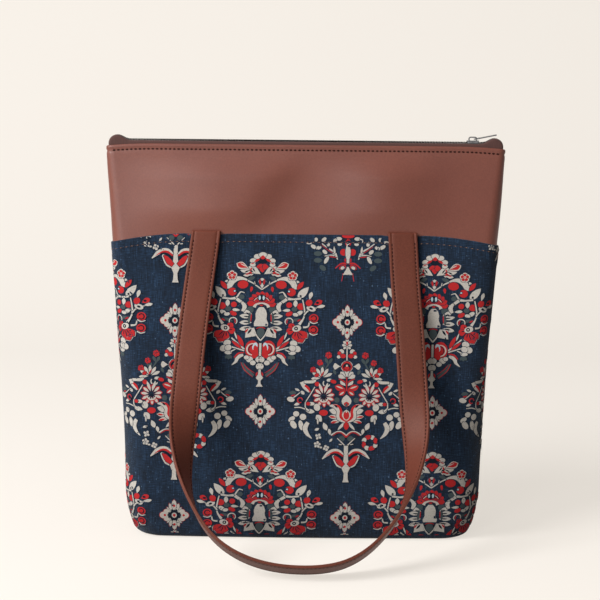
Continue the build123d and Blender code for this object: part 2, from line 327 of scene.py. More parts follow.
def cloth_sheet():
    """Rows of points from the middle of the base up the wall and over the hem."""
    rows, uvs = [], []
    foot_u = share * half_girth(0.0)
    foot = wall(foot_u, 0.0)
    for part in (0, 0.2, 0.4, 0.6, 0.8, 0.93):
        rows.append(foot * np.array([1, part, 1]))
        uvs.append(np.stack([foot_u, (1 - part) * foot[:, 1].min() + 0 * foot_u], -1))
    for z in [0, 0.2, 0.6, 1.3, 2.2, 3.1, 4, 7, 10.5, *np.arange(14, 286, 3.4)]:
        u = share * half_girth(float(z))
        lowered = z * hem_line(u) / HEM_HEIGHT if z > FOOT_EDGE else z + 0 * u
        u = share * half_girth(lowered)
        rows.append(wall(u, lowered, 0, cloth_relief(u, lowered)))
        uvs.append(np.stack([u, lowered], -1))
    u = share * half_girth(float(HEM_HEIGHT))
    top = hem_line(u) - HEM_FOLD
    for angle in radians(1) * np.array([0, 30, 60, 90, 120, 150, 180]):
        z = top + HEM_FOLD * np.sin(angle)
        rows.append(wall(u, z, HEM_FOLD * (1 - np.cos(angle)), cloth_relief(u, z)))
        uvs.append(np.stack([u, z + HEM_FOLD * angle], -1))
    for down in (3, 6, 9.5):
        rows.append(wall(u, top - down, 2 * HEM_FOLD, 0))
        uvs.append(np.stack([u, top + down + 3], -1))
    return np.array(rows), np.array(uvs)


for piece in both_sides("cloth", *cloth_sheet(), cotton, CLOTH_THICKNESS,
                        "front_panel", "back_panel"):
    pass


# ---- Print on the cloth ----
# Block-printed flowering bushes and trees with small rosettes between them, in the
# old manner of such cloths: each shape is a field of one colour, drawn on the flat
# cloth as strips between two edges, then laid on the wall.
INKS = {
    "cream": "#c2bcb3",
    "red": "#b92a2b",
    "sage": "#465153",
    "ice": "#b4c8cf",
    "night": "#141c28",
    "ground": None,
}
INK_NAMES = list(INKS)
COLUMN_PITCH, COLUMN_START, ROW_PITCH = 80.3, -40.0, 183.7
# How far the ink stands off the cloth, each layer over the last and each shape over
# the one before it in its layer
INK_LIFT, LAYER_LIFT, ORDER_STEP = 0.14, 0.04, 0.02
PRINT_GAP = 0.55
PRINT_LOW, PRINT_REACH, PRINT_TOP_MARGIN, PRINT_SIDE_MARGIN = 5.5, 218, 0.4, 0.5
CELL = 3.4
BUSH_ROWS, TREE_ROWS, TOP_ROW = (-2, -1, 0, 1), (-2, -1, 0), (1,)


def ink(name, colour):
    """Pigment printed on the cloth: matt, a little uneven, the weave shows through."""
    material, tree, shader = new_material("pigment_" + name, Roughness=0.9,
                                          Specular_IOR_Level=0.15)
    uv, weave = weave_height(tree)
    worn = ranged(tree, streaks(tree, uv, 1.4, 1.4, 3.0), 0.5, 0.85, last=0.5)
    dress(tree, shader, mixed(tree, worn, colour, "#26303d"), weave, 0.5, 0.2)
    return material


ink_materials = [ink(name, colour) if colour else cotton for name, colour in INKS.items()]


def strip(left, right):
    """A shape by its two edges, each a list of points."""
    return [np.array(left, float), np.array(right, float)]


def lens_shape(x, y, turn, along, half):
    """A shape with half its width to each side of a line that turns about x, y."""
    c, s = cos(radians(turn)), sin(radians(turn))
    return strip([(x + p * c - q * s, y + p * s + q * c) for p, q in zip(along, half)],
                 [(x + p * c + q * s, y + p * s - q * c) for p, q in zip(along, half)])


def oval(x, y, wide, high, turn=0):
    """An ellipse by its half sizes."""
    t = np.linspace(0.001, pi - 0.001, 9)
    return lens_shape(x, y, turn, -np.cos(t) * wide, np.sin(t) * high)


def leaf(x, y, length, width, angle, widest=0.5):
    """A pointed leaf or petal from its root, widest at a share of its length."""
    t = np.linspace(0, 1, 8)
    power = np.log(0.5) / np.log(widest)
    return lens_shape(x, y, angle, t * length, width / 2 * np.sin(pi * t ** power) ** 0.8)


def stem(points, widths):
    """A smooth stroke through points, its width running from first to last."""
    knots = np.array([points[0], *points, points[-1]], float)
    line = []
    for i in range(1, len(knots) - 2):
        p0, p1, p2, p3 = knots[i - 1:i + 3]
        for t in np.linspace(0, 1, 5)[:-1]:
            line.append(0.5 * (2 * p1 + (p2 - p0) * t + (2 * p0 - 5 * p1 + 4 * p2 - p3) * t ** 2
                               + (3 * p1 - p0 - 3 * p2 + p3) * t ** 3))
    line = np.array([*line, knots[-1]])
    along = np.gradient(line, axis=0)
    along /= np.linalg.norm(along, axis=1)[:, None] + 1e-9
    side = np.stack([-along[:, 1], along[:, 0]], -1)
    half = np.interp(np.linspace(0, 1, len(line)), np.linspace(0, 1, len(widths)), widths) / 2
    return strip(line + side * half[:, None], line - side * half[:, None])


def arc(x, y, radius, first, last, widths):
    """A curved stroke round a centre."""
    turns = np.radians(np.linspace(first, last, 7))
    return stem([(x + radius * cos(t), y + radius * sin(t)) for t in turns], widths)


def widened(shape, gap):
    """The shape grown by a gap all round."""
    left, right = shape
    out = left - right
    out = out / (np.linalg.norm(out, axis=1)[:, None] + 1e-6)
    grown = [left + out * gap, right - out * gap]
    middle = (left + right) / 2
    for end, before in ((0, 1), (-1, -2)):
        push = middle[end] - middle[before]
        push = push / (np.linalg.norm(push) + 1e-6) * gap
        for side in grown:
            side[end] = side[end] + push
    return grown


class Motif:
    """Shapes of one ornament, mirrored about its middle line."""

    def __init__(self):
        self.shapes = []

    def put(self, colour, layer, shape, twin=True):
        """Adds a shape and its mirror image; pale ones get a dark gap round them."""
        if colour in ("cream", "red") and layer < 2:
            self.put("ground", layer, widened(shape, PRINT_GAP), twin)
        depth = layer + len(self.shapes) * ORDER_STEP
        self.shapes.append((INK_NAMES.index(colour), depth, *shape))
        if twin:
            flip = np.array([-1, 1])
            self.shapes.append((INK_NAMES.index(colour), depth, shape[1] * flip, shape[0] * flip))

    def put_all(self, colour, layer, kind, *rows, twin=True):
        """Adds one shape of a kind for each row of its values."""
        for row in rows:
            self.put(colour, layer, kind(*row), twin)

    def fan(self, colour, layer, x, y, count, first, last, inner, outer, width, widest=0.6,
            twin=True):
        """Adds leaves that spread from one place, turned from first to last."""
        for angle in np.linspace(first, last, count):
            root = (x + inner * cos(radians(angle)), y + inner * sin(radians(angle)))
            self.put(colour, layer, leaf(*root, outer - inner, width, angle, widest), twin)

    def blossom(self, x, y, radius):
        """Adds a flower of five petals."""
        self.put("cream", 0, oval(x, y, radius * 0.6, radius * 0.6))
        self.fan("cream", 1.2, x, y, 5, 90, 378, 0, radius, radius * 0.95, 0.66)
        self.fan("red", 2, x, y, 5, 90, 378, 0.2, radius * 0.8, radius * 0.62, 0.66)
        self.put("cream", 3, oval(x, y, radius * 0.24, radius * 0.24))
        self.put("red", 4, oval(x, y, radius * 0.1, radius * 0.1))


def flowering_bush():
    """A bush of mirrored flowers round a pale bell, on a short foot."""
    m = Motif()
    # Crown: a scalloped dome over a diamond, with a winged flower on each side
    m.put("cream", 0, arc(0, 49.8, 8.6, 14, 166, (3.4, 5, 3.4)), False)
    for x, y, r in ((-8.8, 52.8, 3), (-5.2, 57, 3), (-9, 49, 2.6)):
        m.put("cream", 1.2, oval(x, y, r, r * 0.8))
    m.put("cream", 1.2, oval(0, 58.6, 3.6, 2.6), False)
    m.put("night", 1.4, oval(0, 53, 4.6, 3.4), False)
    m.put("red", 2, leaf(0, 54.2, 4, 4.4, 90, 0.4), False)
    m.put_all("red", 2, leaf, (-2.4, 55, 6.4, 2.1, 212), (-7.4, 50.6, 3.6, 1.2, 196))
    m.fan("red", 1, 0, 47, 4, 90, 360, 0, 5.6, 6, 0.28, False)
    m.put_all("cream", 0, leaf, (-1.6, 39.8, 13.4, 6.6, 147, 0.6), (-8.2, 39.6, 9.4, 3.4, 188),
              (-9.4, 42.6, 11, 5, 176))
    m.put("cream", 1, leaf(-12.2, 45, 12.8, 7.2, 157, 0.64))
    m.put("red", 2, leaf(-13.6, 45.8, 10.4, 5, 157, 0.64))
    m.put("cream", 3, leaf(-14.4, 46.8, 7, 0.9, 152))
    for x, y, length, angle in ((-6.6, 42, 4.8, 124), (-8, 41.4, 5.4, 150), (-9.4, 40.4, 6.4, 184),
                                (-12, 43.4, 5, 206), (-10, 38.8, 5.6, 214)):
        m.put("night", 1.4, leaf(x, y, length, 1.3, angle))
    for x, y, angle in ((-11, 43, 70), (-13, 40.6, 20), (-9.6, 39.4, 120), (-15.6, 39.4, 10)):
        m.put("red", 2, leaf(x, y, 3.6, 1.4, angle))
    m.put("sage", 1, leaf(-6.4, 37, 7.6, 3.4, 200))
    m.blossom(-27.7, 38.3, 5)
    # Bud, arching stems and their berries
    m.put("cream", 0, leaf(0, 24.4, 11.8, 7.4, 90, 0.72), False)
    m.put("red", 1.4, leaf(-1.5, 29.4, 5.6, 1.9, 98))
    m.put("night", 2, oval(0, 32.4, 0.6, 1.2), False)
    m.put("cream", 0, stem([(0, 24.8), (-4, 27.8), (-9, 31.4), (-14.6, 34.2)], (1.1, 1.1, 1.4)))
    m.put("cream", 1.2, stem([(-6.4, 29.8), (-6.9, 32.8)], (0.9, 0.5)))
    m.put("cream", 0, stem([(-13.6, 34), (-20, 35.6), (-26, 33.8), (-29.6, 28.8), (-30, 25.4)],
                           (1.4, 3.4, 5.6, 5.4, 4)))
    m.put_all("red", 0, oval, (-17.5, 29.6, 5, 4, 6), (-27, 22.4, 4, 3.9))
    m.put("ground", 2, oval(-24.2, 23.2, 2, 1.5))
    m.put("ice", 3, oval(-24.8, 23.2, 0.9, 0.8))
    m.put_all("red", 0, leaf, (-9.2, 27.8, 5.6, 2.6, 262, 0.4), (-32, 25, 9.9, 4.2, 127))
    m.put_all("cream", 0, leaf, (-31.4, 30.6, 3.4, 3.2, 120, 0.8),
              (-33, 16.6, 14.8, 6.8, 131, 0.42))
    m.put("night", 2, oval(-35.5, 18.9, 1, 1))
    m.put("cream", 0, stem([(-36, 16.4), (-29, 15.6), (-23, 16.2)], (1.8, 1.6, 3)))
    m.put_all("cream", 1.2, stem,
              ([(-23, 16.6), (-20.4, 21), (-18.8, 22.4), (-15.6, 21.4)], (1.6, 1.3, 1, 0.6)),
              ([(-23, 15.6), (-17.6, 11.8), (-14, 10.8)], (3, 2.6, 1)),
              ([(-18, 12.4), (-15.4, 8.2), (-17.2, 3.4)], (2, 4.2, 2.4)))
    m.put("sage", 0, oval(-18.6, 17.4, 2.8, 2.4))
    # Scalloped dome over the bell
    m.put("red", 0, arc(0, 9.8, 8.4, -4, 184, (6.4, 7, 6.4)), False)
    for angle in range(4, 180, 21):
        m.put("red", 1.2, leaf(0, 9.8, 13.4, 5.4, angle, 0.76), False)
    m.put("night", 2, arc(0, 9.8, 9, 24, 62, (0.5, 0.8, 0.5)))
    m.put("cream", 3, arc(0, 9.8, 8, 30, 66, (0.3, 0.7, 0.3)))
    m.put("night", 2, oval(0, 16.8, 4.2, 3.4), False)
    m.put("ice", 3, oval(-1.8, 16.8, 1, 2.2))
    m.put("cream", 2, stem([(-6.6, 7.4), (-5, 10), (0, 11.6), (5, 10), (6.6, 7.4)],
                           (3.2, 2, 1.2, 2, 3.2)), False)
    m.put("red", 3, oval(0, 9.4, 1.4, 0.8), False)
    m.put("sage", 0, oval(-10.2, 5, 3.2, 3.4))
    m.put("cream", 1, strip([(-2, 7.6), (-4.2, 4.6), (-5.2, 1), (-4.9, -4), (-6.6, -8),
                             (-6.2, -11)],
                            [(2, 7.6), (4.2, 4.6), (5.2, 1), (4.9, -4), (6.6, -8), (6.2, -11)]),
                            False)
    for y, length, angle in ((0.6, 9.6, 158), (-2, 11.4, 174), (-7.4, 11.4, 181),
                             (-12.2, 11.4, 190)):
        m.put("cream", 0, leaf(-8.4, y, length, 4.4, angle, 0.56))
        m.put("night", 1.4, leaf(-10.4, y, length - 5.6, 1.3, angle))
    m.put("sage", 1, leaf(-10.2, 3, 12.6, 3, -94))
    m.put("red", 2, leaf(-8.9, 1.4, 8.6, 1, -93))
    m.put("cream", 0, strip([(-13.6, -13.4), (-13.8, -18), (-14.2, -22.4)],
                            [(-6.6, -12.6), (-6.2, -16.4), (-4.4, -20.6)]))
    m.put("night", 1.4, leaf(-8.4, -13.4, 6.4, 2, 236))
    m.put("red", 2, leaf(-11.6, -13.4, 5, 1.6, 236))
    m.put("night", 0, leaf(0, -10.6, 14, 11.4, 270, 0.42), False)
    m.put("sage", 1, leaf(0, -12, 10.8, 7.2, 270, 0.42), False)
    m.put("red", 2, arc(0, -18.4, 6.4, 52, 128, (0.6, 1, 0.6)), False)
    m.put("cream", 2, stem([(-6.8, -12.6), (-4, -19.6), (0, -25)], (1.2, 1.1, 1.3)))
    # Two half discs, cloud flowers and the foot
    m.put("red", 0, oval(-7.2, -33.8, 6.8, 9, 4))
    m.put("cream", 2, arc(-6.6, -33.6, 5.6, 72, 262, (0.7, 1.4, 1)))
    m.put("night", 2, arc(-6.2, -33.6, 4.3, 70, 250, (0.5, 0.9, 0.5)))
    m.put("ice", 2, oval(-4.9, -30.8, 2.3, 4, -14))
    m.put("red", 3, leaf(-3, -38.6, 9.6, 4.6, 102))
    m.put("night", 3, oval(0, -33.6, 1.9, 7.6), False)
    m.put("cream", 4, stem([(0, -27.4), (0, -40)], (2, 2)), False)
    for x, y, r in ((-9.6, -43.4, 3.2), (-6.4, -46.8, 2.6), (-12.4, -41.6, 2.3)):
        m.put("cream", 0, oval(x, y, r, r * 0.9))
    m.put_all("cream", 1, oval, (0, -43.6, 4.2, 3.2), (0, -50.2, 3.6, 3.2), twin=False)
    m.put("night", 2, oval(0, -46.6, 1.8, 0.8), False)
    m.put("sage", 0, stem([(-16.4, -46.4), (-12.6, -53), (-5.4, -59.4)], (1.6, 4.4, 2.4)))
    m.put_all("red", 2, stem, ([(-17.4, -46.4), (-13.8, -53.8), (-6.2, -60.6)], (0.4, 0.7, 0.4)),
              ([(-14.6, -47.6), (-11, -52), (-4.6, -56.8)], (0.4, 0.6, 0.4)))
    m.put("red", 0, leaf(-1.8, -55.4, 5.6, 2.6, 262))
    m.put("cream", 1, strip([(-1, -53), (-1.2, -58), (-3.4, -61.4), (-1.1, -64), (-1.2, -67),
                             (-3.2, -70)],
                            [(1, -53), (1.2, -58), (3.4, -61.4), (1.1, -64), (1.2, -67),
                             (3.2, -70)]), False)
    # Large side flower with its stem, leaves and small cloud flowers
    petals = ((41, 8.4, 6.2), (-16, 9, 6.6), (243, 14, 9), (216, 13, 7.4), (268, 10.4, 7.4))
    for angle, length, wide in petals[2:]:
        m.put("cream", 0, leaf(-32, -14, length + 0.9, wide + 1, angle, 0.68))
    for angle, length, wide in petals:
        m.put("red", 1.2, leaf(-32, -14, length, wide, angle, 0.68))
        m.put("night", 2, leaf(-32, -14, length * 0.7, 1, angle + 8, 0.7))
    m.put("cream", 2, oval(-32.8, -12.8, 4.2, 3, -20))
    m.put("night", 3, oval(-32.2, -12.8, 1.8, 1.9))
    m.put("cream", 4, oval(-32.2, -12.8, 0.7, 0.8))
    m.put("cream", 0, stem([(-26.6, -22.6), (-20, -28.6), (-14.6, -33.6)], (1.2, 1.3, 1.7)))
    m.put_all("red", 0, leaf, (-15.4, -31.2, 13.4, 3.8, 117, 0.45), (-17, -33, 12, 2.8, 141))
    m.put("cream", 1, leaf(-21.6, -24, 8, 1.5, 108))
    for x, y, r in ((-30.4, -27.6, 3.5), (-33.6, -32.8, 3.5), (-29.4, -32.2, 3.2)):
        m.put("cream", 1.2, oval(x, y, r, r * 0.86, 30))
    m.put("cream", 0, stem([(-27.4, -31), (-21, -33), (-14.6, -35)], (1.4, 1.1, 1.3)))
    m.put("cream", 0, oval(-29.2, -36.8, 3.4, 2))
    m.put("cream", 0, stem([(-27, -36), (-22.6, -33.6)], (1.2, 0.8)))
    m.fan("sage", 0, -28.7, -38.6, 3, 235, 305, 0, 5.2, 2.9, 0.6)
    m.put("cream", 0, stem([(-15.4, -39), (-20.4, -41.4), (-22, -45.6), (-25.8, -49.2)],
                           (2, 4, 2.6, 0.3)))
    m.put("red", 0, stem([(-14.6, -36.8), (-20, -37.8), (-23.6, -42)], (0.9, 1.5, 1)))
    # Berries and leaves inside the arch, and the branch round them
    m.put_all("red", 0, oval, (-36, 8.6, 3.5, 3.3), (-25.3, 10, 2.7, 2.7),
              (-25.6, 1.4, 3.4, 2.2, -24))
    m.put("cream", 0, leaf(-31, 8, 7, 4, 90))
    m.put_all("cream", 0, oval, (-34.8, 2.2, 3.4, 2, -34), (-31.4, 0.6, 2.7, 1.7, 10))
    m.put("cream", 0, leaf(-26.6, 5, 7.4, 2.8, -4, 0.4))
    m.put("sage", 0, oval(-30.3, 5.8, 2.7, 2.3))
    m.put("sage", 0, leaf(-36, -3, 11, 2.8, -18))
    m.put("red", 1, leaf(-36.6, -3.8, 4.4, 1.5, -28))
    m.put("cream", 0, arc(-25.6, -6.4, 3.6, -50, 200, (0.7, 1.2, 0.8)))
    m.put("red", 1, arc(-25.8, -6.4, 2.3, -40, 60, (1, 1)))
    m.put("cream", 0, stem([(-37.4, 15.4), (-39, 8), (-39.6, 2), (-38.4, -3.4), (-35, -9)],
                           (1, 1.2, 1.4, 1.4, 2.8)))
    # Outer sprays
    m.put("cream", 0, stem([(-39, 0), (-42, 4), (-46, 6.8), (-50.4, 7.4)], (1.2, 1.3, 2.6, 1)))
    m.put("cream", 0, oval(-45.4, 6.8, 4.4, 2.6, 20))
    m.put("night", 2, oval(-45.4, 6.8, 1.8, 1, 20))
    m.put("red", 0, oval(-43.4, 12.4, 3, 3.4, 30))
    m.put("red", 0, leaf(-48, 10.6, 8.4, 5.4, 152, 0.6))
    m.put("night", 2, oval(-51, 12.6, 1.5, 1.1))
    m.put_all("cream", 0, leaf, (-43.6, 15.4, 8, 3.6, 105, 0.6), (-49.8, 8, 8.6, 3.2, 168, 0.6))
    for y in (-2.7, -14):
        m.put("red", 0, oval(-48, y, 4.4, 4.2))
        m.put("night", 2, arc(-48, y, 2.6, 20, 330, (0.9, 1.1, 0.9)))
        m.put("cream", 1, stem([(-44.4, y - 3.2), (-48, y - 5), (-52, y - 3.8)], (1.2, 1, 0.6)))
    m.put("cream", 0, stem([(-38.6, -11.6), (-43, -10.8), (-44, -6.6)], (1.8, 1.4, 1)))
    return m


def flowering_tree():
    """A slender tree: a lotus in its crown, berries above and two leaves at its foot."""
    m = Motif()
    m.put("cream", 0, leaf(0, 55.6, 8, 4, 90, 0.6), False)
    m.put_all("cream", 0, leaf, (-0.6, 56.4, 4.6, 2.8, 166, 0.6), (-0.6, 58.4, 4.2, 2.6, 142, 0.6),
              (-0.4, 55.8, 4, 2.4, 214, 0.6))
    m.put("red", 2, leaf(0, 56.4, 4.8, 1.9, 90, 0.6), False)
    m.put("cream", 1, stem([(0, 56.6), (0, 42)], (1.1, 1.1)), False)
    m.put("cream", 0, oval(-5.4, 50.6, 2.5, 2.6, 30))
    m.put("red", 1.2, oval(-3.9, 46.5, 2.7, 2.2))
    m.put("red", 0, oval(-7.6, 49, 1.8, 2))
    m.put("cream", 0, oval(-8.2, 45.6, 1.9, 1.6))
    m.put("cream", 0, oval(0, 36.1, 5.9, 5.9), False)
    m.put("red", 1.4, oval(0, 36.1, 5.1, 5.1), False)
    m.put("night", 2, oval(0, 36, 3.9, 3.7), False)
    m.put("red", 3, oval(0, 34.6, 2.6, 1.8), False)
    m.put("cream", 4, oval(0, 37, 0.9, 1), False)
    m.put("cream", 0, leaf(-5.4, 36.2, 8.2, 6.4, 180, 0.76))
    for x, y, r in ((-18.2, 47.1, 3.5), (-26.6, 39.7, 3.2), (-33.1, 32.2, 3.4)):
        m.fan("red", 1.2, x, y, 6, 30, 330, 0, r, r * 1.15, 0.55)
    m.fan("sage", 0, -18.2, 38, 2, 60, 118, 0, 7.2, 3, 0.6)
    m.put("sage", 0, stem([(-18.2, 38.4), (-21.8, 32.6)], (1.6, 1.1)))
    m.fan("sage", 0, -24.7, 32.6, 2, 70, 116, 0, 5.6, 2.8, 0.6)
    m.put("sage", 0, leaf(-13.4, 33.4, 6, 2.8, -64))
    for angle, length in ((96, 7.2), (128, 8.4), (158, 8)):
        m.put("cream", 0, leaf(-1, 24.4, length, 4.6, angle, 0.66))
    m.put("red", 1, stem([(-8, 24), (-4, 22.4), (0, 19.6)], (0.8, 1.1, 1)))
    m.put("cream", 0, leaf(-0.8, 17, 7.6, 3.8, 138, 0.62))
    m.put("red", 1.4, stem([(0, 25.6), (0, 12)], (1, 1.2)), False)
    m.put("red", 0, leaf(-0.2, 13, 12.2, 6.4, 162, 0.62))
    m.put("cream", 2, leaf(-3.2, 14.4, 7.8, 1.4, 161))
    m.put("red", 0, leaf(-0.2, 13, 9, 5.2, 214, 0.62))
    m.put("cream", 2, leaf(-2.6, 11.2, 5.4, 1.7, 216))
    m.fan("cream", 0, -24.4, 24.6, 6, 25, 185, 1.5, 11, 3, 0.62)
    m.put_all("red", 2, leaf, (-26, 25.4, 7, 1.3, 60), (-27.6, 25.6, 5.4, 1.3, 120))
    m.put("red", 1.2, oval(-29.8, 27.2, 2.3, 1.5, 30))
    m.put("cream", 0, oval(-17.4, 22.6, 2.6, 1.5, 6))
    m.put("cream", 0, arc(-20, 19.4, 3.3, 140, 340, (1, 1.3, 1.2)))
    m.put_all("red", 0, oval, (-13.2, 21.2, 3, 1.8, -16), (-29.3, 18.5, 2.4, 2.3))
    m.put("cream", 0, stem([(-44, 20.6), (-41.8, 15.4), (-37, 10.4)], (5.2, 3.8, 1.4)))
    m.put("cream", 1.2, stem([(-42, 20.4), (-34, 20.6), (-30.6, 22.4)], (2.4, 3, 1.6)))
    m.put("red", 2, stem([(-41.4, 17), (-38, 14.2), (-36, 10.4)], (1.8, 2.6, 0.8)))
    m.put("cream", 0, stem([(-31.5, 15.6), (-36, 8), (-40.7, 0.4)], (0.9, 1, 1)))
    # Chrysanthemum
    m.fan("red", 0, -22.7, 6.6, 11, 10, 340, 2.6, 11.2, 4.2, 0.66)
    m.fan("cream", 2, -22.7, 6.6, 11, 10, 340, 3, 10.4, 2.6, 0.6)
    m.put_all("cream", 2, leaf, (-21.4, 10.8, 9.6, 2.6, 74), (-24.2, 10.8, 9.2, 2.6, 110))
    m.put("cream", 3, arc(-22.7, 5.4, 4.4, 190, 350, (1, 1.6, 1)))
    m.put("red", 4, arc(-22.7, 5.4, 5.6, 205, 335, (0.6, 1.1, 0.6)))
    m.put("night", 4, oval(-22.5, 5.4, 1.9, 1.5))
    m.put("sage", 0, oval(-9.6, 3, 2.7, 2.7))
    m.put("cream", 0, oval(-34.8, -1, 3.2, 1.8))
    m.put("red", 1.2, oval(-38, -1, 2, 1.7))
    # Lotus
    m.put("cream", 0, leaf(0, -3.6, 12, 9.8, 90, 0.45), False)
    m.put("red", 2, leaf(0, -4, 5.6, 5.2, 90, 0.6), False)
    m.put("sage", 3, leaf(0, -4, 4, 2.2, 90, 0.6), False)
    m.put("cream", 0, leaf(-6, -9.6, 11.4, 6, 166))
    m.put("cream", 1.2, stem([(0, -17.8), (-6.2, -14), (-7, -7.6), (-10.6, -3.4), (-16.8, -2.6)],
                             (4, 7.2, 5.4, 5, 0.8)))
    m.put("red", 2, stem([(0, -17.4), (-5.4, -13.8), (-5.4, -7.6), (-8, -3), (-13.4, -1.6)],
                         (3.2, 2.8, 2.4, 2, 0.6)))
    m.put("night", 3, leaf(-8.6, -4.6, 4.6, 1.8, 140))
    m.put("cream", 0, leaf(-6, -14.4, 11.6, 4, 174, 0.6))
    m.put("red", 2, leaf(-10, -14.2, 7, 1.9, 172, 0.6))
    m.put("cream", 0, leaf(-4.6, -17, 11, 3.6, 190, 0.55))
    m.put("red", 2, leaf(-8.6, -17.9, 7, 2.1, 194, 0.6))
    m.put("cream", 3, oval(0, -12, 3.8, 5.2), False)
    m.put("red", 4, oval(0, -12, 2.9, 4.3), False)
    m.put("cream", 5, leaf(0, -9.6, 3.4, 1.8, 90), False)
    m.put("cream", 0, leaf(-1.2, -18.6, 11, 2.7, 228))
    m.put("red", 1.2, leaf(0, -18.4, 8.4, 5.2, 270), False)
    m.put("red", 0, oval(-22.7, -9.7, 4.3, 3))
    m.put("cream", 0, oval(-29.2, -4.4, 3.1, 3.6, 20))
    m.put("cream", 0, leaf(-31.4, -9, 9, 4.4, 172))
    m.put("cream", 0, stem([(-40.7, 0.4), (-40.6, -5), (-37, -8)], (1.1, 1.1, 2)))
    m.put_all("cream", 0, leaf, (-29.8, -12, 8.4, 6, -50, 0.45), (-28.4, -15, 6.4, 1.6, -88),
              (-22.8, -19.4, 8.4, 4.6, -65, 0.55))
    # Pale lobed leaves and the far bud
    for x, y, long, wide, turn in ((-49.8, -11.2, 3, 2.7, 0), (-43, -14.1, 3.3, 3.1, 0),
                                   (-54.2, -16.4, 3.7, 2.2, 36),
                                   (-52.4, -21.8, 4.3, 2.8, -55), (-44.8, -22.4, 5, 2.4, -76)):
        m.put("cream", 0, oval(x, y, long, wide, turn))
    m.put("cream", 0, stem([(-38, -19.4), (-40.8, -25), (-38.8, -30.6), (-34, -35.4)],
                           (3.4, 5, 3.6, 0.5)))
    m.put("sage", 0, leaf(-49.6, 9.4, 7.4, 4.4, 180))
    m.put("red", 1, leaf(-50.6, 7.6, 5, 1.3, 195))
    m.put("cream", 0, leaf(-46.4, 11.6, 5.4, 2.2, 158))
    m.put_all("cream", 0, oval, (-43.6, 9.8, 2.3, 1.5, -40), (-55.2, 3, 3.8, 2.5, -10))
    m.put("cream", 0, stem([(-52.6, 4.8), (-48.6, 7.8), (-46, 10)], (1.1, 0.9, 0.7)))
    m.put("night", 0, oval(-46, 2.5, 4.1, 4))
    m.put("red", 1, arc(-46, 2.3, 2.5, 0, 300, (0.8, 1.2, 0.8)))
    m.put("cream", 0, leaf(-52, -2.6, 6.6, 2.8, 20))
    m.put("cream", 0, stem([(-51.6, -5), (-46, -4.8), (-41, -6.4)], (0.9, 1, 1)))
    # Bracket, small flowers at the left and a wreath at the right
    m.put("cream", 0, stem([(-15, -31.8), (-9.6, -28.4), (-4.6, -28.4), (0, -32)],
                           (1.6, 0.9, 0.9, 1.2)))
    m.put("red", 2, stem([(-13.4, -32.4), (-9, -29.6), (-4.6, -29.6), (0, -33.6)],
                         (0.5, 0.9, 0.9, 1.8)))
    m.put("cream", 0, leaf(-15.8, -31.8, 6.6, 3.2, 102, 0.6))
    m.put("sage", 0, oval(-4.4, -35.4, 3.2, 2.8, 20))
    m.put_all("cream", 0, stem, ([(-1, -42.6), (-4.8, -38.6), (-8.8, -34.8)], (1.2, 1, 0.7)),
              ([(-4.4, -41.2), (-7.2, -40.8)], (1, 0.6)))
    m.fan("cream", 1.2, -27.6, -33.2, 4, 60, 330, 0, 3.4, 2.4, 0.6, False)
    m.fan("cream", 1.2, -28.6, -41.2, 5, 10, 300, 0, 3.6, 2.5, 0.6, False)
    m.fan("cream", 1.2, -19.8, -44.6, 4, 20, 290, 0, 3.2, 2.8, 0.6, False)
    m.put_all("cream", 0, leaf, (-31.4, -27, 5, 2.6, 20), (-16.6, -38.6, 4.6, 2, 50), twin=False)
    m.put("cream", 0, oval(-25, -44, 1.4, 0.9), False)
    for part, angle in enumerate(range(64, 424, 45)):
        c, s = cos(radians(angle)), sin(radians(angle))
        spot = (23.6 + 6.2 * c, -39.4 + 5.8 * s)
        m.put("red" if part % 2 else "cream", 1.2,
              oval(*spot, 3.3 if part % 2 else 2.7, 2.2, angle + 88), False)
    # Trunk and the two large leaves
    m.put("cream", 1, strip([(-2, -42.4), (-2, -50), (-2.2, -56), (-4.3, -64.4), (-1.9, -70),
                             (-2.2, -76), (-3.2, -79)],
                            [(2, -42.4), (2, -50), (2.2, -56), (4.3, -64.4), (1.9, -70),
                             (2.2, -76), (3.2, -79)]), False)
    m.put("cream", 0, stem([(-2.4, -63.6), (-6.4, -60), (-9.8, -55.4), (-13, -52)],
                           (4, 7.6, 6.2, 1.6)))
    m.put("red", 1.4, stem([(-2.6, -62), (-6.2, -58.8), (-9.2, -55), (-11.8, -52.8)],
                           (3.4, 5.6, 4, 0.8)))
    m.put("cream", 1.2, stem([(-2.4, -51), (-7, -47.4), (-12.6, -47.2), (-18, -50.4),
                              (-23.6, -55.6)], (1, 2.6, 3.4, 4, 0.6)))
    m.put("red", 2, stem([(-2.8, -52.8), (-7.6, -49.2), (-13, -49), (-20, -53)],
                         (1.4, 2.2, 1.6, 0.3)))
    m.put("night", 3, stem([(-3.4, -56.4), (-6.8, -52.2), (-12.6, -50.4)], (0.6, 1.2, 0.4)))
    return m


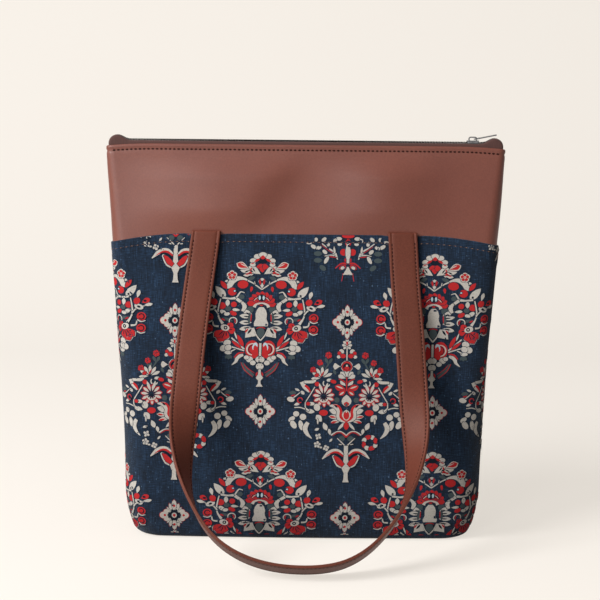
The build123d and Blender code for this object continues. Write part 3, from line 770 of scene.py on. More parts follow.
def rosette():
    """A small diamond rosette: pointed tufts above and below, round ones beside."""
    m = Motif()
    for up in (90, 270):
        for turn, length, wide in ((-42, 13.6, 4.6), (42, 13.6, 4.6), (-21, 16.2, 4.8),
                                   (21, 16.2, 4.8), (0, 20, 6)):
            m.put("red", 0, leaf(0, 0, length + 0.7, wide + 0.6, up + turn, 0.72), False)
            m.put("cream", 1.2, leaf(0, 0, length - 0.2, wide, up + turn, 0.7), False)
    for x in (-1, 1):
        for dx, dy, r in ((9.4, 4.6, 3.6), (9.4, -4.6, 3.6), (13, 0, 4.8)):
            m.put("red", 1.4, oval(x * (dx + 0.5), dy, r + 0.2, r * 0.96), False)
            m.put("cream", 2, oval(x * dx, dy, r, r * 0.9), False)
    m.put("night", 3, oval(0, 0, 6, 7), False)
    m.fan("night", 3, 0, 0, 8, 22, 337, 3, 8.6, 2.6, 0.5, False)
    m.put("cream", 4, oval(0, 0, 3.2, 3.4), False)
    m.put("red", 5, oval(0, 0, 1.7, 1.9), False)
    for x, y in ((0, 12), (0, -12), (11.6, 0), (-11.6, 0)):
        m.put("red", 4, oval(x, y, 1.5, 1.5), False)
    return m


def hem_sprig():
    """The tree that the cloth's edge cuts off: branches over a small red root."""
    m = Motif()
    m.put("cream", 1, strip([(-2.9, 11.6), (-1.4, 8), (-2.4, 3), (-2.2, -2), (-1.3, -5),
                             (-1.2, -8.6)],
                            [(2.9, 11.6), (1.4, 8), (2.4, 3), (2.2, -2), (1.3, -5), (1.2, -8.6)]),
                            False)
    m.put("red", 0, oval(-4.3, 1.4, 3, 3.2, 20))
    m.put("red", 0, oval(0, 16.4, 6, 2), False)
    m.put("red", 2, stem([(0, 13.6), (-2.2, 10.4), (-1.6, 7.6)], (1.2, 1.2, 0.5)))
    m.put("red", 0, leaf(0, -9.4, 6, 3.6, 118))
    m.put("red", 0, stem([(-1.4, -9), (-6.4, -9.2), (-11.8, -13.4)], (2.2, 1.4, 0.8)))
    m.put("red", 0, oval(-5, -12.6, 3.4, 2.2, 24))
    m.put("cream", 1.2, oval(-5, -13, 2, 1.4, 24))
    m.put("cream", 1, strip([(-0.7, -12), (-2, -15), (-4.6, -19.4)],
                            [(0.7, -12), (2, -15), (4.6, -19.4)]), False)
    m.put("red", 0, stem([(-4.4, -18), (-5.7, -25.4)], (0.9, 0.5)))
    m.put("cream", 0, stem([(-9.6, -5.4), (-12.6, 0.4), (-19, 5), (-25.6, 9.8)],
                           (0.6, 3.2, 1.6, 1.2)))
    m.put_all("cream", 0, leaf, (-12.4, 0, 7, 2, 96, 0.4), (-12, -1.6, 10.4, 2, 183, 0.4))
    m.put("red", 1.2, leaf(-10, -3.6, 10, 1, 172))
    m.put("red", 1.2, stem([(-14.6, 0.8), (-19.4, 3.9), (-25.6, 8.6)], (0.6, 0.6, 0.4)))
    for x, y, wide, turn in ((-36, 10.3, 3, 10), (-32, 6.2, 3.2, -30), (-27.4, 5.4, 2.6, 20),
                             (-22.5, 13, 2.6, 40),
                             (-18.9, 9, 2.4, -60), (-8.6, 13.8, 2.8, 0), (-12.2, 12, 2.2, 60),
                             (-7.8, 9, 2.2, 10),
                             (-30, 12.8, 2, 70), (-21.6, 1.6, 2.6, -40), (-20, -5.8, 3.8, 60)):
        m.put("cream", 1.2, oval(x, y, wide, 1.7, turn))
    for x, y, wide, turn in ((-28, 0, 3.8, 0), (-28, -6.2, 3.8, 0), (-23.4, -13.2, 3.4, -36)):
        m.put("sage", 0, oval(x, y, wide, 2.2, turn))
    return m


def cut_in_cells(motif, wide, high, slant):
    """The motif's shapes as flat faces, cut in small cells so that they can bend."""
    flat = bmesh.new()
    for colour, depth, left, right in motif.shapes:
        edge_a, edge_b = [[flat.verts.new((x * wide + y * slant, y * high, depth))
                           for x, y in side] for side in (left, right)]
        for i in range(len(edge_a) - 1):
            face = flat.faces.new((edge_a[i], edge_b[i], edge_b[i + 1], edge_a[i + 1]))
            face.material_index = colour
    bmesh.ops.remove_doubles(flat, verts=flat.verts, dist=0.002)
    for axis in (0, 1):
        spread = [v.co[axis] for v in flat.verts]
        for place in np.arange(min(spread) + CELL / 2, max(spread), CELL):
            at, way = Vector((0, 0, 0)), Vector((0, 0, 0))
            at[axis], way[axis] = place, 1
            bmesh.ops.bisect_plane(flat, geom=flat.verts[:] + flat.edges[:] + flat.faces[:],
                                   plane_co=at, plane_no=way, dist=1e-4)
    flat.verts.index_update()
    points, faces = np.array([v.co[:] for v in flat.verts]), []
    for face in flat.faces:
        around = [v.index for v in face.verts]
        faces.append((around if face.normal.z > 0 else around[::-1], face.material_index))
    flat.free()
    return points, faces


def printed(name, start, on_back):
    """The whole print of one side: motifs on a half-drop lattice, laid on the wall."""
    points, faces, colours = [], [], []
    for column in range(-3, 4):
        for (local, local_faces), first_column, step, height, rows in ORNAMENTS:
            if (column - start - first_column) % step:
                continue
            for row in rows:
                u = local[:, 0] + COLUMN_START + column * COLUMN_PITCH
                z = local[:, 1] + height + row * ROW_PITCH
                if (z.min() > HEM_HEIGHT or z.max() < PRINT_LOW
                        or u.min() > PRINT_REACH or u.max() < -PRINT_REACH):
                    continue
                first = sum(len(p) for p in points)
                points.append(np.stack([u, z, local[:, 2]], -1))
                faces += [[first + i for i in ids] for ids, colour in local_faces]
                colours += [colour for ids, colour in local_faces]
    points = np.concatenate(points)
    u, z = points[:, 0], points[:, 1]
    top = hem_line(u) - PRINT_TOP_MARGIN
    side = half_girth(np.clip(z, 1, HEM_HEIGHT - 1.0)) - PRINT_SIDE_MARGIN
    inside = (z < top) & (z > PRINT_LOW) & (np.abs(u) < side)
    kept = [k for k, face in enumerate(faces) if any(inside[face])]
    z = np.clip(z, PRINT_LOW, top)
    room = half_girth(z) - PRINT_SIDE_MARGIN
    u = np.clip(u, -room, room)
    placed = wall(u, z, 0, cloth_relief(u, z) + INK_LIFT + points[:, 2] * LAYER_LIFT)
    made = mesh_piece(
        name, turned(placed) if on_back else placed, [faces[k] for k in kept],
        np.stack([u, z], -1), ink_materials,
        lambda edit: bmesh.ops.delete(edit, geom=[v for v in edit.verts if not v.link_faces],
                                      context="VERTS"),
        lambda edit: bmesh.ops.dissolve_degenerate(edit, edges=edit.edges, dist=MERGE),
        colours=[colours[k] for k in kept])
    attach(made, "bag")


bush = cut_in_cells(flowering_bush(), 1.02, 0.945, 0.018)
small_tree = cut_in_cells(flowering_tree(), 0.94, 0.9375, 0)
rosettes = cut_in_cells(rosette(), 0.765, 0.79, 0)
sprig = cut_in_cells(hem_sprig(), 1, 1, 0)
# Each row: the ornament, its first column, every how many columns, its height, its rows
ORNAMENTS = (
    (bush, 0, 2, 213.4, BUSH_ROWS), (small_tree, 1, 2, 132.9, TREE_ROWS),
    (small_tree, 3, 4, 132.9, TOP_ROW), (sprig, 1, 4, 86.8, TOP_ROW),
    (rosettes, 0, 2, 124.3, BUSH_ROWS), (rosettes, 1, 2, 207.6, BUSH_ROWS),
)
printed("front_print", 0, False)
printed("back_print", 1, True)


# ---- Stitching ----
# Every seam that shows is topstitched by machine. A row of stitches is one low
# capsule of thread repeated along a line on the surface.
def thread(colour, first, second):
    """Twisted polyester sewing thread: matt, with a fine ply."""
    material, tree, shader = new_material(colour + "_polyester_thread", Roughness=0.9,
                                          Specular_IOR_Level=0.12)
    dress(tree, shader, mixed(tree, noise(tree, object_place(tree), 1800.0, 1.0), first, second))
    return material


def repeat_tree(name, material, segments, turn):
    """Geometry nodes: round beads at even steps along a line, turned about their Y."""
    group = bpy.data.node_groups.new(name, "GeometryNodeTree")
    group.interface.new_socket("Line", in_out="INPUT", socket_type="NodeSocketGeometry")
    for label in ("Pitch", "Length", "Width", "Height"):
        group.interface.new_socket(label, in_out="INPUT", socket_type="NodeSocketFloat")
    group.interface.new_socket("Beads", in_out="OUTPUT", socket_type="NodeSocketGeometry")
    given = add_node(group, "NodeGroupInput").outputs
    curve = add_node(group, "GeometryNodeMeshToCurve", {0: given["Line"]})
    steps = add_node(group, "GeometryNodeCurveToPoints", {
        "Curve": curve.outputs[0], "Length": given["Pitch"]}, mode="LENGTH")
    size = add_node(group, "ShaderNodeCombineXYZ", {
        0: given["Length"], 1: given["Width"], 2: given["Height"]})
    bead = add_node(group, "GeometryNodeMeshUVSphere", {
        "Segments": segments, "Rings": 5, "Radius": 0.5})
    bead = add_node(group, "GeometryNodeTransform", {
        "Geometry": bead.outputs[0], "Rotation": (0, turn, 0)})
    facing = add_node(group, "FunctionNodeAlignRotationToVector", {
        "Vector": steps.outputs["Tangent"]}, axis="X")
    placed = add_node(group, "GeometryNodeInstanceOnPoints", {
        "Points": steps.outputs["Points"], "Instance": bead.outputs[0],
        "Rotation": facing.outputs[0], "Scale": size.outputs[0]})
    real = add_node(group, "GeometryNodeRealizeInstances", {0: placed.outputs[0]})
    done = add_node(group, "GeometryNodeSetMaterial", {
        "Geometry": real.outputs[0], "Material": material})
    add_node(group, "NodeGroupOutput", {0: done.outputs[0]})
    return group


def along_lines(name, group, lines, body, **sizes):
    """Runs a tree on lines of points in millimetres and keeps the result as a mesh."""
    points, edges = [], []
    for line in lines:
        first = len(points)
        points += (np.asarray(line) * MM).tolist()
        edges += [(first + i, first + i + 1) for i in range(len(line) - 1)]
    guide = bpy.data.meshes.new(name)
    guide.from_pydata(points, edges, [])
    made = link(name, guide)
    repeat = made.modifiers.new("Repeat", "NODES")
    repeat.node_group = group
    for item in group.interface.items_tree:
        if item.in_out == "INPUT" and item.name in sizes:
            repeat[item.identifier] = float(sizes[item.name] * MM)
    graph = bpy.context.evaluated_depsgraph_get()
    mesh = bpy.data.meshes.new_from_object(made.evaluated_get(graph))
    made.modifiers.remove(repeat)
    made.data = mesh
    mesh.shade_smooth()
    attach(made, body)
    return made


SEAM_POINTS = 241


def seams(height, margin, edge, drop, relief, lift, inset=0.0):
    """Front and back line of stitching at a drop below an edge, lifted off the surface."""
    u = np.linspace(-1, 1, SEAM_POINTS) * (half_girth(height, inset) - margin)
    z = edge(u) - drop
    line = wall(u, z, inset, relief(u, z) + lift)
    return [line, turned(line)]


# The cream thread serves only the pale beads that paint a highlight on the hem stitches
brown_stitches, copper_stitches, pale_highlight_beads = [
    repeat_tree(colour + "_stitches", thread(colour, first, second), 6, pi / 2)
    for colour, first, second in (("brown", "#2a1410", "#40211b"),
                                  ("copper", "#3f302e", "#6b4838"),
                                  ("cream", "#8a6a55", "#b3937a"))]
hem_seams = seams(280.0, 2, hem_line, HEM_STITCH_DROP, cloth_relief, 0.5)
along_lines("hem_topstitch", copper_stitches, hem_seams, "bag",
            Pitch=5.3, Length=4.4, Width=0.42, Height=0.42)
# A pale bead on the middle of each hem stitch: a painted highlight on the thread's crest
along_lines("hem_stitch_highlights", pale_highlight_beads, hem_seams, "bag",
            Pitch=5.3, Length=1.2, Width=0.6, Height=0.6)


# ---- Faux leather band ----
# A band of coated cloth front and back, embossed with a fine grain, its upper edge
# turned in over the zip tape and topstitched; its lower edge lies under the cloth.
MOUTH_HEIGHT, BAND_FLAT, BAND_DROOP = 370.4, 280, 2.5
BAND_INSET, BAND_FOLD, BAND_LAP, BAND_THICKNESS = 1.6, 0.85, 16, 0.55
BAND_UNDER = 0.68
BAND_LEVEL, BAND_CORNER, BAND_CORNER_DROP = 365.0, 9, 2.4
BAND_STITCH_DROP = 5.0
DENT_LEFT, DENT_RIGHT, BAND_PUFF, BAND_GROOVE, BAND_SEAM = 6.2, 6.8, 0.55, 0.7, 0.9


def eased(share):
    """A smooth step from 0 to 1."""
    share = np.clip(share, 0, 1)
    return share * share * (3 - 2 * share)


def band_top(u):
    """Height of the band's upper edge, rounded off where it meets the side seam."""
    corner = np.clip(1 - (half_girth(BAND_LEVEL) - np.abs(u)) / BAND_CORNER, 0, 1)
    edge = droop(wall(u, BAND_LEVEL)[..., 0], BAND_FLAT, BAND_DROOP)
    return MOUTH_HEIGHT - edge - BAND_CORNER_DROP * corner ** 2


def band_relief(u, z):
    """The soft dent, the puffed turned edge and the stitches' groove."""
    below = band_top(u) - z
    seam = half_girth(z) - np.abs(u)
    # The left dent ends at a line that leans to the right as it rises
    across = u + 12 - (z - 355) * 0.65
    left = DENT_LEFT * (1 - np.tanh(across / 18)) / 2 * eased((u + 186) / 110)
    right = DENT_RIGHT * ridge(u - 72, 42)
    swell = 0.5 * np.sin((u + 150) / 40) * np.sin((z - 250) / 30)
    body = eased((below - 4) / 30) * eased((z - 279) / 34)
    puff = BAND_PUFF * eased(seam / 14) * ridge(below - 2.2, 1.9) + 0.1 * ridge(below - 8.6, 2.4)
    groove = BAND_GROOVE * ridge(below - BAND_STITCH_DROP, 1.0)
    return (left + right + swell) * body + puff - groove - BAND_SEAM * ridge(seam, 2.0)


def band_sheet():
    """Rows from under the cloth up the wall and over the turned edge."""
    rows, uvs = [], []
    foot = HEM_HEIGHT - BAND_LAP
    for step in np.linspace(0, 1, 46) ** 0.8:
        u = share * half_girth(foot + (MOUTH_HEIGHT - foot) * step, BAND_INSET)
        low = hem_line(u) - BAND_LAP
        z = low + (band_top(u) - BAND_FOLD - low) * step
        rows.append(wall(u, z, BAND_INSET, band_relief(u, z) * np.clip(step * 5, 0, 1)))
        uvs.append(np.stack([u, z], -1))
    u = share * half_girth(MOUTH_HEIGHT, BAND_INSET)
    top = band_top(u) - BAND_FOLD
    for angle in radians(1) * np.array([25, 50, 75, 100, 125, 150, 180]):
        z = top + BAND_FOLD * np.sin(angle)
        turning = band_relief(u, z) * (1 + np.cos(angle)) / 2
        rows.append(wall(u, z, BAND_INSET + BAND_UNDER * (1 - np.cos(angle)), turning))
        uvs.append(np.stack([u, z + BAND_FOLD * angle], -1))
    for down in (4, 9):
        rows.append(wall(u, top - down, BAND_INSET + 2 * BAND_UNDER, 0))
        uvs.append(np.stack([u, top + down + 3], -1))
    return np.array(rows), np.array(uvs)


def faux_leather(name, light, dark, grain_mm, roughness, shine, tint="#ffffff"):
    """Coated cloth: fine embossed grain, matt with a soft shine, slight tone changes."""
    material, tree, shader = new_material(name, Roughness=roughness, Specular_IOR_Level=shine,
                                          Specular_Tint=linear(tint))
    place = object_place(tree)
    grain = add_node(tree, "ShaderNodeTexVoronoi", {"Vector": place, "Scale": 1 / (grain_mm * MM)},
                     feature="DISTANCE_TO_EDGE")
    pores = noise(tree, place, 0.5 / (grain_mm * MM), 4.0)
    tone = ranged(tree, maths(tree, "ADD", noise(tree, place, 14.0, 2.0), pores), 0.7, 1.3)
    relief = maths(tree, "ADD", ranged(tree, grain.outputs["Distance"], high=0.12), pores)
    dress(tree, shader, mixed(tree, tone, dark, light), relief, 0.25, 0.12)
    return material


band_leather = faux_leather("embossed_faux_leather", "#7d4638", "#6e3b2f", 0.7, 0.43, 0.55)
for piece in both_sides("band", *band_sheet(), band_leather, BAND_THICKNESS,
                        "front_yoke", "back_yoke"):
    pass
band_seams = seams(360.0, 12, band_top, BAND_STITCH_DROP, band_relief, 0.35, BAND_INSET)
along_lines("band_topstitch", brown_stitches, band_seams, "bag",
            Pitch=4.0, Length=2.7, Width=1.7, Height=1.7)


# ---- Zip ----
# A coil zip: two woven polyester tapes bent over towards the middle, a nylon coil
# along each edge, and a plated slider with its pull. At both ends the tape humps up
# before it goes down to the side.
TAPE_HALF_DEPTH, TAPE_HALF_LENGTH, TAPE_THICKNESS = 5.2, 184.15, 0.7
TAPE_LOW, RIDGE_HEIGHT = 358, 373.2
HUMP_START, HUMP_RISE, HUMP_CORNER = 163, 5, 8
SHOULDER = 2.0
CHAIN_GAP = 0.7
COIL_PITCH, TOOTH_LENGTH, TOOTH_WIDTH, TOOTH_HEIGHT = 1.45, 1.05, 2.5, 1.7
COIL_END, COIL_SINK, COIL_OFFSET, COIL_BITE = 5, 1.5, 1.0, 0.1


def zip_line():
    """The tape's top line from the left foot, over both humps, to the right foot."""
    crest_x = TAPE_HALF_LENGTH - HUMP_CORNER
    crest = RIDGE_HEIGHT + HUMP_RISE
    right = [(x, RIDGE_HEIGHT) for x in np.linspace(0, HUMP_START, 48)]
    for t in np.linspace(0, 1, 10)[1:]:
        right.append((HUMP_START + (crest_x - HUMP_START) * t,
                      RIDGE_HEIGHT + HUMP_RISE * t * t * (3 - 2 * t)))
    for angle in np.linspace(0, pi / 2, 9)[1:]:
        right.append((crest_x + HUMP_CORNER * sin(angle), crest - HUMP_CORNER * (1 - cos(angle))))
    right += [(TAPE_HALF_LENGTH, z) for z in np.linspace(crest - HUMP_CORNER, TAPE_LOW, 5)[1:]]
    right = np.array(right)
    return np.concatenate([right[:0:-1] * [-1, 1], right])


def tape_sheet():
    """One tape: flat beside the coil, rounded over its shoulder, then down."""
    line = zip_line()
    along = np.gradient(line, axis=0)
    along /= np.linalg.norm(along, axis=1)[:, None]
    inward = np.stack([along[:, 1], -along[:, 0]], -1)
    rows, uvs = [], []
    run = np.concatenate([[0], np.cumsum(np.linalg.norm(np.diff(line, axis=0), axis=1))])
    profile = [(CHAIN_GAP, 0.0), (1.9, 0.0), (TAPE_HALF_DEPTH - SHOULDER, 0.0)]
    for angle in radians(1) * np.array([18, 36, 54, 72, 90]):
        profile.append((TAPE_HALF_DEPTH - SHOULDER + SHOULDER * sin(angle),
                        SHOULDER * (1 - cos(angle))))
    for out, drop in profile:
        spot = line + inward * drop
        rows.append(np.stack([spot[:, 0], -out + 0 * run, spot[:, 1]], -1))
        uvs.append(np.stack([run, out + drop + 0 * run], -1))
    last = rows[-1]
    limit = TAPE_HALF_LENGTH - SHOULDER
    for part in (0.35, 0.7, 1):
        low = last.copy()
        low[:, 0] = np.clip(low[:, 0], -limit, limit)
        low[:, 2] = low[:, 2] + (TAPE_LOW - low[:, 2]) * part
        rows.append(low)
        uvs.append(np.stack([run, TAPE_HALF_DEPTH + 14 * part + 0 * run], -1))
    return np.array(rows)[::-1], np.array(uvs)[::-1]


tape_cloth, tree, shader = new_material("woven_polyester_tape", Roughness=0.8, Sheen_Weight=0.15)
uv = add_node(tree, "ShaderNodeUVMap", uv_map="UVMap").outputs["UV"]
ribs = streaks(tree, uv, 0.7, 6)
dress(tree, shader, mixed(tree, ribs, "#321c18", "#5e3932"), ribs, 0.5, 0.3)
for piece in both_sides("zip_tape", *tape_sheet(), tape_cloth, TAPE_THICKNESS,
                        "zip_tape_front", "zip_tape_back"):
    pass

# Nylon coil: one low rounded tooth each pitch, on both tapes, half a step apart. Its
# ends sink over the humps.
nylon, tree, shader = new_material("nylon_coil", Roughness=0.75, Specular_IOR_Level=0.2)
dress(tree, shader, mixed(tree, noise(tree, object_place(tree), 600.0, 2.0), "#0f0a09", "#241816"))
coil_teeth = repeat_tree("coil_teeth", nylon, 8, 0)
chain = zip_line()
chain = chain[np.abs(chain[:, 0]) < TAPE_HALF_LENGTH - COIL_END]
sunk = COIL_SINK * eased((np.abs(chain[:, 0]) - HUMP_START) / HUMP_CORNER)
for name, side, node in (("front_zip_coil", -1, "zip_coil_front"),
                         ("back_zip_coil", 1, "zip_coil_back")):
    spots = [(x + (side + 1) * COIL_PITCH / 4, side * (CHAIN_GAP + COIL_OFFSET),
              z + TOOTH_HEIGHT / 2 - COIL_BITE - down) for (x, z), down in zip(chain, sunk)]
    row = along_lines(name, coil_teeth, [spots], "bag", Pitch=COIL_PITCH, Length=TOOTH_LENGTH,
                      Width=TOOTH_WIDTH, Height=TOOTH_HEIGHT)
    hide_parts(node)

# Slider and pull are die-cast zinc with a bright dark plating: they keep their
# own shapes and get the metal's finish
plated, tree, shader = new_material("plated_zinc", Metallic=1.0, Roughness=0.22)
dress(tree, shader, mixed(tree, noise(tree, object_place(tree), 500.0, 3.0), "#77787c", "#c4c4c6"))
for node in ("zip_slider", "zip_pull"):
    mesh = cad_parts[node].data
    mesh.materials.clear()
    mesh.materials.append(plated)


# ---- Lining ----
# A thin dark bag of polyester taffeta that hangs inside the cloth and the band.
taffeta, tree, shader = new_material("polyester_taffeta", Roughness=0.45)
uv, weave = weave_height(tree)
dress(tree, shader, mixed(tree, streaks(tree, uv, 3, 20), "#2b211f", "#43342f"), weave, 0.3, 0.1)
LINING_INSET, LINING_THICKNESS, LINING_TOP = 3.5, 0.3, 356


def lining_sheet():
    """Rows of the front half, from the middle of the base up to the zip."""
    rows, uvs = [], []
    foot_u = share * half_girth(LINING_INSET, LINING_INSET)
    foot = wall(foot_u, LINING_INSET, LINING_INSET)
    for part in (0, 0.35, 0.7):
        rows.append(foot * np.array([1, part, 1]))
        uvs.append(np.stack([foot_u, part * 40 - 40 + 0 * foot_u], -1))
    for z in [LINING_INSET, 4.4, 6, *np.linspace(9, LINING_TOP, 50)]:
        u = share * half_girth(float(z), LINING_INSET)
        wave = 0.5 * np.sin(u / 9 + z / 60) * np.clip((340 - z) / 60, 0, 1) - 0.5
        rows.append(wall(u, z, LINING_INSET, wave))
        uvs.append(np.stack([u, z + 0 * u], -1))
    return np.array(rows), np.array(uvs)


def add_back_half(edit):
    """Adds the same half turned round and joins the two down the sides."""
    copied = bmesh.ops.duplicate(edit, geom=edit.verts[:] + edit.edges[:] + edit.faces[:])
    bmesh.ops.rotate(edit, verts=[g for g in copied["geom"] if isinstance(g, bmesh.types.BMVert)],
                     cent=(0, 0, 0), matrix=Matrix.Rotation(pi, 3, "Z"))
    bmesh.ops.remove_doubles(edit, verts=edit.verts, dist=2e-5)


lining_both = grid_piece("lining_bag", *lining_sheet(), [taffeta], "bag", "lining")
edited(lining_both.data, add_back_half)
thicken(lining_both, LINING_THICKNESS)


# ---- Strap handles ----
# Two plies of faux leather glued back to back and stitched along both edges. Each
# strap comes up from behind the cloth's edge, rolls over it, hangs down in front,
# turns edge-on and lies on the floor as a loop.
STRAP_THICKNESS = 2.8
STRAP_ROLL = 1.95
ROLL_HEIGHT, ROLL_REACH, ROLL_FADE = 288.9, 19.05, 9
STRAP_LEAN, STRAP_FLOOR_LEAN = 9, 32
TWIST_TOP, TWIST_FOOT = 165, 40
STRAP_SAMPLES, STRAP_STEP = 240, 3.0
GROOVE, EDGE_ROUND, STITCH_INSET, STITCH_SINK = 0.35, 0.9, 2.9, 0.42
ENDS_LOW, ENDS_HIGH, ENDS_INSET, ENDS_THICKNESS = 271.5, 286.2, 0.98, 0.5
lean_rise = STRAP_ROLL - STRAP_THICKNESS / 2
leg_y = -ROLL_REACH - lean_rise * cos(radians(STRAP_LEAN))
leg_z = ROLL_HEIGHT + lean_rise * sin(radians(STRAP_LEAN))
STRAP_POINTS = (
    (-92, leg_y, leg_z), (-97.5, -29, 246), (-103, -44, 199), (-107.5, -66, 146),
    (-108.5, -92, 96),
    (-99, -115, 59), (-72, -137, 27.5), (-38, -146.5, 12.8), (0, -150, 8.7), (38, -146.5, 13.4),
    (74, -130, 36), (94.5, -111, 66), (102, -88, 104), (100.5, -65, 148), (97.5, -43.5, 199),
    (93.5, -28.5, 247), (91, leg_y, leg_z),
)


def smooth_line(points, first, last, samples):
    """A twice smooth curve through points with given directions at its ends."""
    points = np.array(points, float)
    step = np.linalg.norm(np.diff(points, axis=0), axis=1)
    knots = np.concatenate([[0], np.cumsum(step)])
    count = len(points)
    matrix, right = np.zeros((count, count)), np.zeros((count, 3))
    matrix[0, 0] = matrix[-1, -1] = 1
    right[0], right[-1] = first, last
    for i in range(1, count - 1):
        a, b = step[i - 1], step[i]
        matrix[i, i - 1:i + 2] = b, 2 * (a + b), a
        right[i] = 3 * (b * (points[i] - points[i - 1]) / a + a * (points[i + 1] - points[i]) / b)
    slopes = np.linalg.solve(matrix, right)
    spots, ways = [], []
    for s in np.linspace(0, knots[-1], samples + 1):
        i = min(np.searchsorted(knots, s, "right") - 1, count - 2)
        h, t = step[i], (s - knots[i]) / step[i]
        spots.append((2 * t ** 3 - 3 * t ** 2 + 1) * points[i]
                     + (t ** 3 - 2 * t ** 2 + t) * h * slopes[i]
                     + (3 * t ** 2 - 2 * t ** 3) * points[i + 1]
                     + (t ** 3 - t ** 2) * h * slopes[i + 1])
        ways.append((6 * t ** 2 - 6 * t) * points[i] / h
                    + (3 * t ** 2 - 4 * t + 1) * slopes[i]
                    + (6 * t - 6 * t ** 2) * points[i + 1] / h
                    + (3 * t ** 2 - 2 * t) * slopes[i + 1])
    ways = np.array(ways)
    return np.array(spots), ways / np.linalg.norm(ways, axis=1)[:, None]


lean_front, lean_up = cos(radians(STRAP_LEAN)), sin(radians(STRAP_LEAN))
spots, ways = smooth_line(STRAP_POINTS, (-0.12, -lean_up, -lean_front),
                          (-0.06, lean_up, lean_front),
                          STRAP_SAMPLES)


def strap_frames(spots, ways):
    """Directions of the strap's width and thickness at each point of its route."""
    across, faces = [], []
    for spot, way in zip(spots, ways):
        lean = radians(STRAP_FLOOR_LEAN + (STRAP_LEAN - STRAP_FLOOR_LEAN) * spot[2] / HEM_HEIGHT)
        facing = np.array([0, -cos(lean), sin(lean)])
        facing = facing - way * facing.dot(way)
        facing /= np.linalg.norm(facing)
        outward = np.cross(way, facing)
        part = min(max((TWIST_TOP - spot[2]) / (TWIST_TOP - TWIST_FOOT), 0), 1)
        twist = pi / 2 * part * part * (3 - 2 * part)
        wide = outward * cos(twist) + facing * sin(twist)
        across.append(wide)
        faces.append(np.cross(wide, way))
    return np.array(across), np.array(faces)


across, faces = strap_frames(spots, ways)
FACE_SIGN = 1 if faces[0][1] < 0 else -1


def strap_profile():
    """Section of the strap: two plies with a groove between them and soft edges."""
    half_w, half_t = STRAP_WIDTH / 2, STRAP_THICKNESS / 2
    quarter = [(half_w - GROOVE, 0.0), (half_w - 0.08, 0.3)]
    for angle in radians(1) * np.array([0, 30, 60, 90]):
        quarter.append((half_w - EDGE_ROUND + EDGE_ROUND * cos(angle),
                        half_t - EDGE_ROUND + EDGE_ROUND * sin(angle)))
    quarter += [(half_w - 1.9, half_t + 0.06), (half_w - STITCH_INSET + 0.6, half_t - 0.1),
                (half_w - STITCH_INSET, half_t - 0.45),
                (half_w - STITCH_INSET - 0.7, half_t - 0.1),
                (half_w - STITCH_INSET - 1.6, half_t + 0.08), (half_w / 2, half_t + 0.12),
                (0, half_t + 0.14)]
    top = quarter + [(-w, t) for w, t in quarter[-2::-1]]
    return np.array(top + [(w, -t) for w, t in top[-2:0:-1]])


profile = strap_profile()


def ring_at(i, back, thick, rolled):
    """The section at a point of the route; near the roll it centres on the roll."""
    centre = spots[i] + ways[i] * back - faces[i] * FACE_SIGN * lean_rise * rolled
    level = np.array([np.sign(across[i][0]), 0, 0])
    wide = across[i] + (level - across[i]) * rolled
    return centre + wide * profile[:, :1] + faces[i] * profile[:, 1:] * thick


def strap_mesh(name, side, material, body, node):
    """Sweeps the section along the route, with a rounded roll over the hem."""
    last = len(spots) - 1
    ends = [(-STRAP_ROLL * sin(turn), cos(turn) * STRAP_ROLL / (STRAP_THICKNESS / 2))
            for turn in radians(1) * np.array([88, 70, 52, 34, 17])]
    rings = [ring_at(0, back, thick, 1.0) for back, thick in ends]
    for i in range(last + 1):
        rolled = max(0, 1 - min(i, last - i) * STRAP_STEP / ROLL_FADE)
        rings.append(ring_at(i, 0, 1 + (STRAP_ROLL * 2 / STRAP_THICKNESS - 1) * rolled ** 2,
                             rolled))
    rings += [ring_at(last, -back, thick, 1.0) for back, thick in ends[::-1]]
    rings = np.array(rings)
    rings[..., 1] *= side
    count, around = rings.shape[:2]
    quads = [(i * around + j, i * around + (j + 1) % around,
              (i + 1) * around + (j + 1) % around, (i + 1) * around + j)
             for i in range(count - 1) for j in range(around)]
    caps = [list(range(around)), list(range((count - 1) * around, count * around))]
    round_run = np.linalg.norm(np.diff(profile, axis=0), axis=1)
    round_run = np.concatenate([[0], np.cumsum(round_run)])
    flat = np.stack([np.repeat(np.arange(count) * STRAP_STEP, around), np.tile(round_run, count)],
                    -1)
    made = mesh_piece(name, rings.reshape(-1, 3), quads + caps, flat, [material],
                      lambda edit: bmesh.ops.recalc_face_normals(edit, faces=edit.faces))
    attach(made, body)
    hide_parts(node)


strap_leather = faux_leather("strap_faux_leather", "#6c382a", "#5a2c20", 0.7, 0.53, 0.3, "#f8e4dc")
for name, side, body, node in (("front_strap_handle", 1, "front_strap", "front_handle"),
                               ("back_strap_handle", -1, "back_strap", "back_handle")):
    strap_mesh(name, side, strap_leather, body, node)
    lines = []
    for face in (-1, 1):
        for edge in (-1, 1):
            line = spots[3:-3] + across[3:-3] * edge * (STRAP_WIDTH / 2 - STITCH_INSET) \
                + faces[3:-3] * face * (STRAP_THICKNESS / 2 - STITCH_SINK)
            lines.append(line * [1, side, 1])
    along_lines(name + "_stitches", brown_stitches, lines, body,
                Pitch=3.5, Length=2.5, Width=1.5, Height=1.5)

# The thinned ends of each strap, sewn in flat between the cloth and the band
for name, on_back, node in (("front_strap_ends", False, "front_handle_ends"),
                            ("back_strap_ends", True, "back_handle_ends")):
    for k, place in enumerate(STRAP_PLACES):
        u = place + np.linspace(-STRAP_WIDTH / 2, STRAP_WIDTH / 2, 10)
        part = np.array([wall(u, z, ENDS_INSET) for z in np.linspace(ENDS_LOW, ENDS_HIGH, 6)])
        if on_back:
            part = (part * [1, -1, 1])[:, ::-1]
        piece = grid_piece(f"{name}_{k + 1}", part, part[..., [0, 2]], [strap_leather], "bag",
                           node)
        thicken(piece, ENDS_THICKNESS)


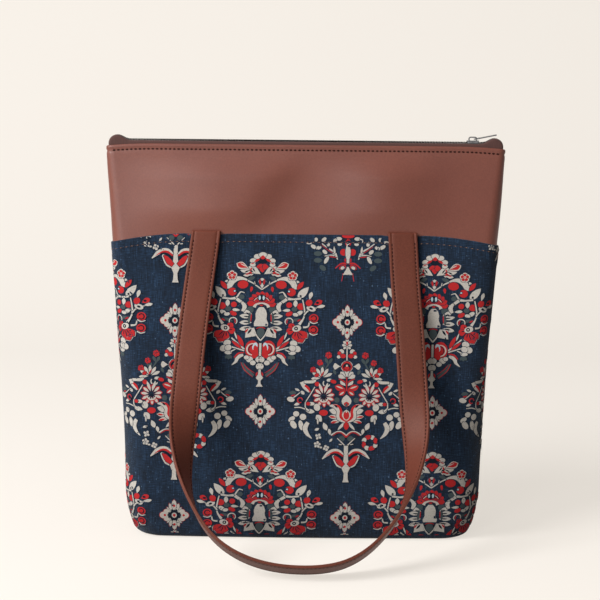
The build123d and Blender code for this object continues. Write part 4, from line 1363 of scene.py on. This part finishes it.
# ---- Floor, light and camera ----
# A pale seamless sweep of paper, a large soft light from the upper left and a weaker
# one from the left in front, a pale room, and the camera at the photograph's place.
GLOW_SHARE, ROOM_LIGHT = 0.66, 0.33
paper, tree, shader = new_material("cream_paper", Roughness=0.95, Specular_IOR_Level=0.0)
path = add_node(tree, "ShaderNodeLightPath").outputs
seen = maths(tree, "MAXIMUM", path["Is Camera Ray"], path["Is Glossy Ray"])
seen = maths(tree, "MAXIMUM", seen, path["Is Transmission Ray"])
# To the camera and in reflections the paper is pale; to bounce light it is dark grey, a painted
# shade that dims the light thrown up onto the bag's foot and the straps' undersides
dress(tree, shader, mixed(tree, seen, "#66605a", "#fcf6f0"))
glow = add_node(tree, "ShaderNodeEmission", {"Color": linear("#fff8ee"), "Strength": 1.0})
both_ways = add_node(tree, "ShaderNodeMixShader", {
    0: maths(tree, "MULTIPLY", seen, GLOW_SHARE), 1: shader.outputs[0], 2: glow.outputs[0]})
tree.links.new(both_ways.outputs[0], tree.nodes["Material Output"].inputs["Surface"])

SWEEP_FRONT, SWEEP_BACK, SWEEP_CURVE, SWEEP_TOP, SWEEP_SIDE = -2.6, 0.9, 1.1, 4.0, 4
sweep = [(y, 0.0) for y in np.linspace(SWEEP_FRONT, SWEEP_BACK, 8)]
for angle in np.linspace(0, pi / 2, 13)[1:]:
    sweep.append((SWEEP_BACK + SWEEP_CURVE * sin(angle), SWEEP_CURVE * (1 - cos(angle))))
sweep.append((SWEEP_BACK + SWEEP_CURVE, SWEEP_TOP))
mesh = bpy.data.meshes.new("paper_sweep")
mesh.from_pydata([(x, y, z) for y, z in sweep for x in (-SWEEP_SIDE, SWEEP_SIDE)], [],
                 [(2 * i, 2 * i + 1, 2 * i + 3, 2 * i + 2) for i in range(len(sweep) - 1)])
mesh.shade_smooth()
mesh.materials.append(paper)
backdrop = link("paper_sweep", mesh)


def area_light(name, place, target, size, power):
    """A round white lamp at a place, turned to its target; metres and watts."""
    lamp = bpy.data.lights.new(name, "AREA")
    lamp.shape = "DISK"
    lamp.size = size
    lamp.energy = power
    holder = link(name, lamp)
    holder.location = place
    holder.rotation_euler = (Vector(target) - Vector(place)).to_track_quat("-Z", "Y").to_euler()


area_light("key_light", (-1.9, -1.25, 1.65), (0, 0, 0.1), 1.3, 84)
area_light("side_light", (-1.2, -2.4, 0.9), (0, 0, 0.2), 0.7, 17)
world = bpy.data.worlds.new("pale_room")
bpy.context.scene.world = world
world.use_nodes = True
room = world.node_tree
background = room.nodes["Background"]
from_camera = add_node(room, "ShaderNodeLightPath").outputs["Is Camera Ray"]
room.links.new(mixed(room, from_camera, "#fffdfb", "#fdf6ef"), background.inputs["Color"])
room.links.new(ranged(room, from_camera, first=ROOM_LIGHT), background.inputs["Strength"])

CAMERA_PLACE, CAMERA_DOWN, CAMERA_ROLL = (-0.004, -1.35, 0.43), 8.7, 0.6
lens = bpy.data.cameras.new("camera")
lens.lens, lens.sensor_width = 86.2, 36
camera = link("camera", lens)
camera.matrix_world = (Matrix.Translation(CAMERA_PLACE)
                       @ Matrix.Rotation(radians(90 - CAMERA_DOWN), 4, "X")
                       @ Matrix.Rotation(radians(CAMERA_ROLL), 4, "Z"))
bpy.context.scene.camera = camera
bpy.context.scene.view_settings.view_transform = "Standard"
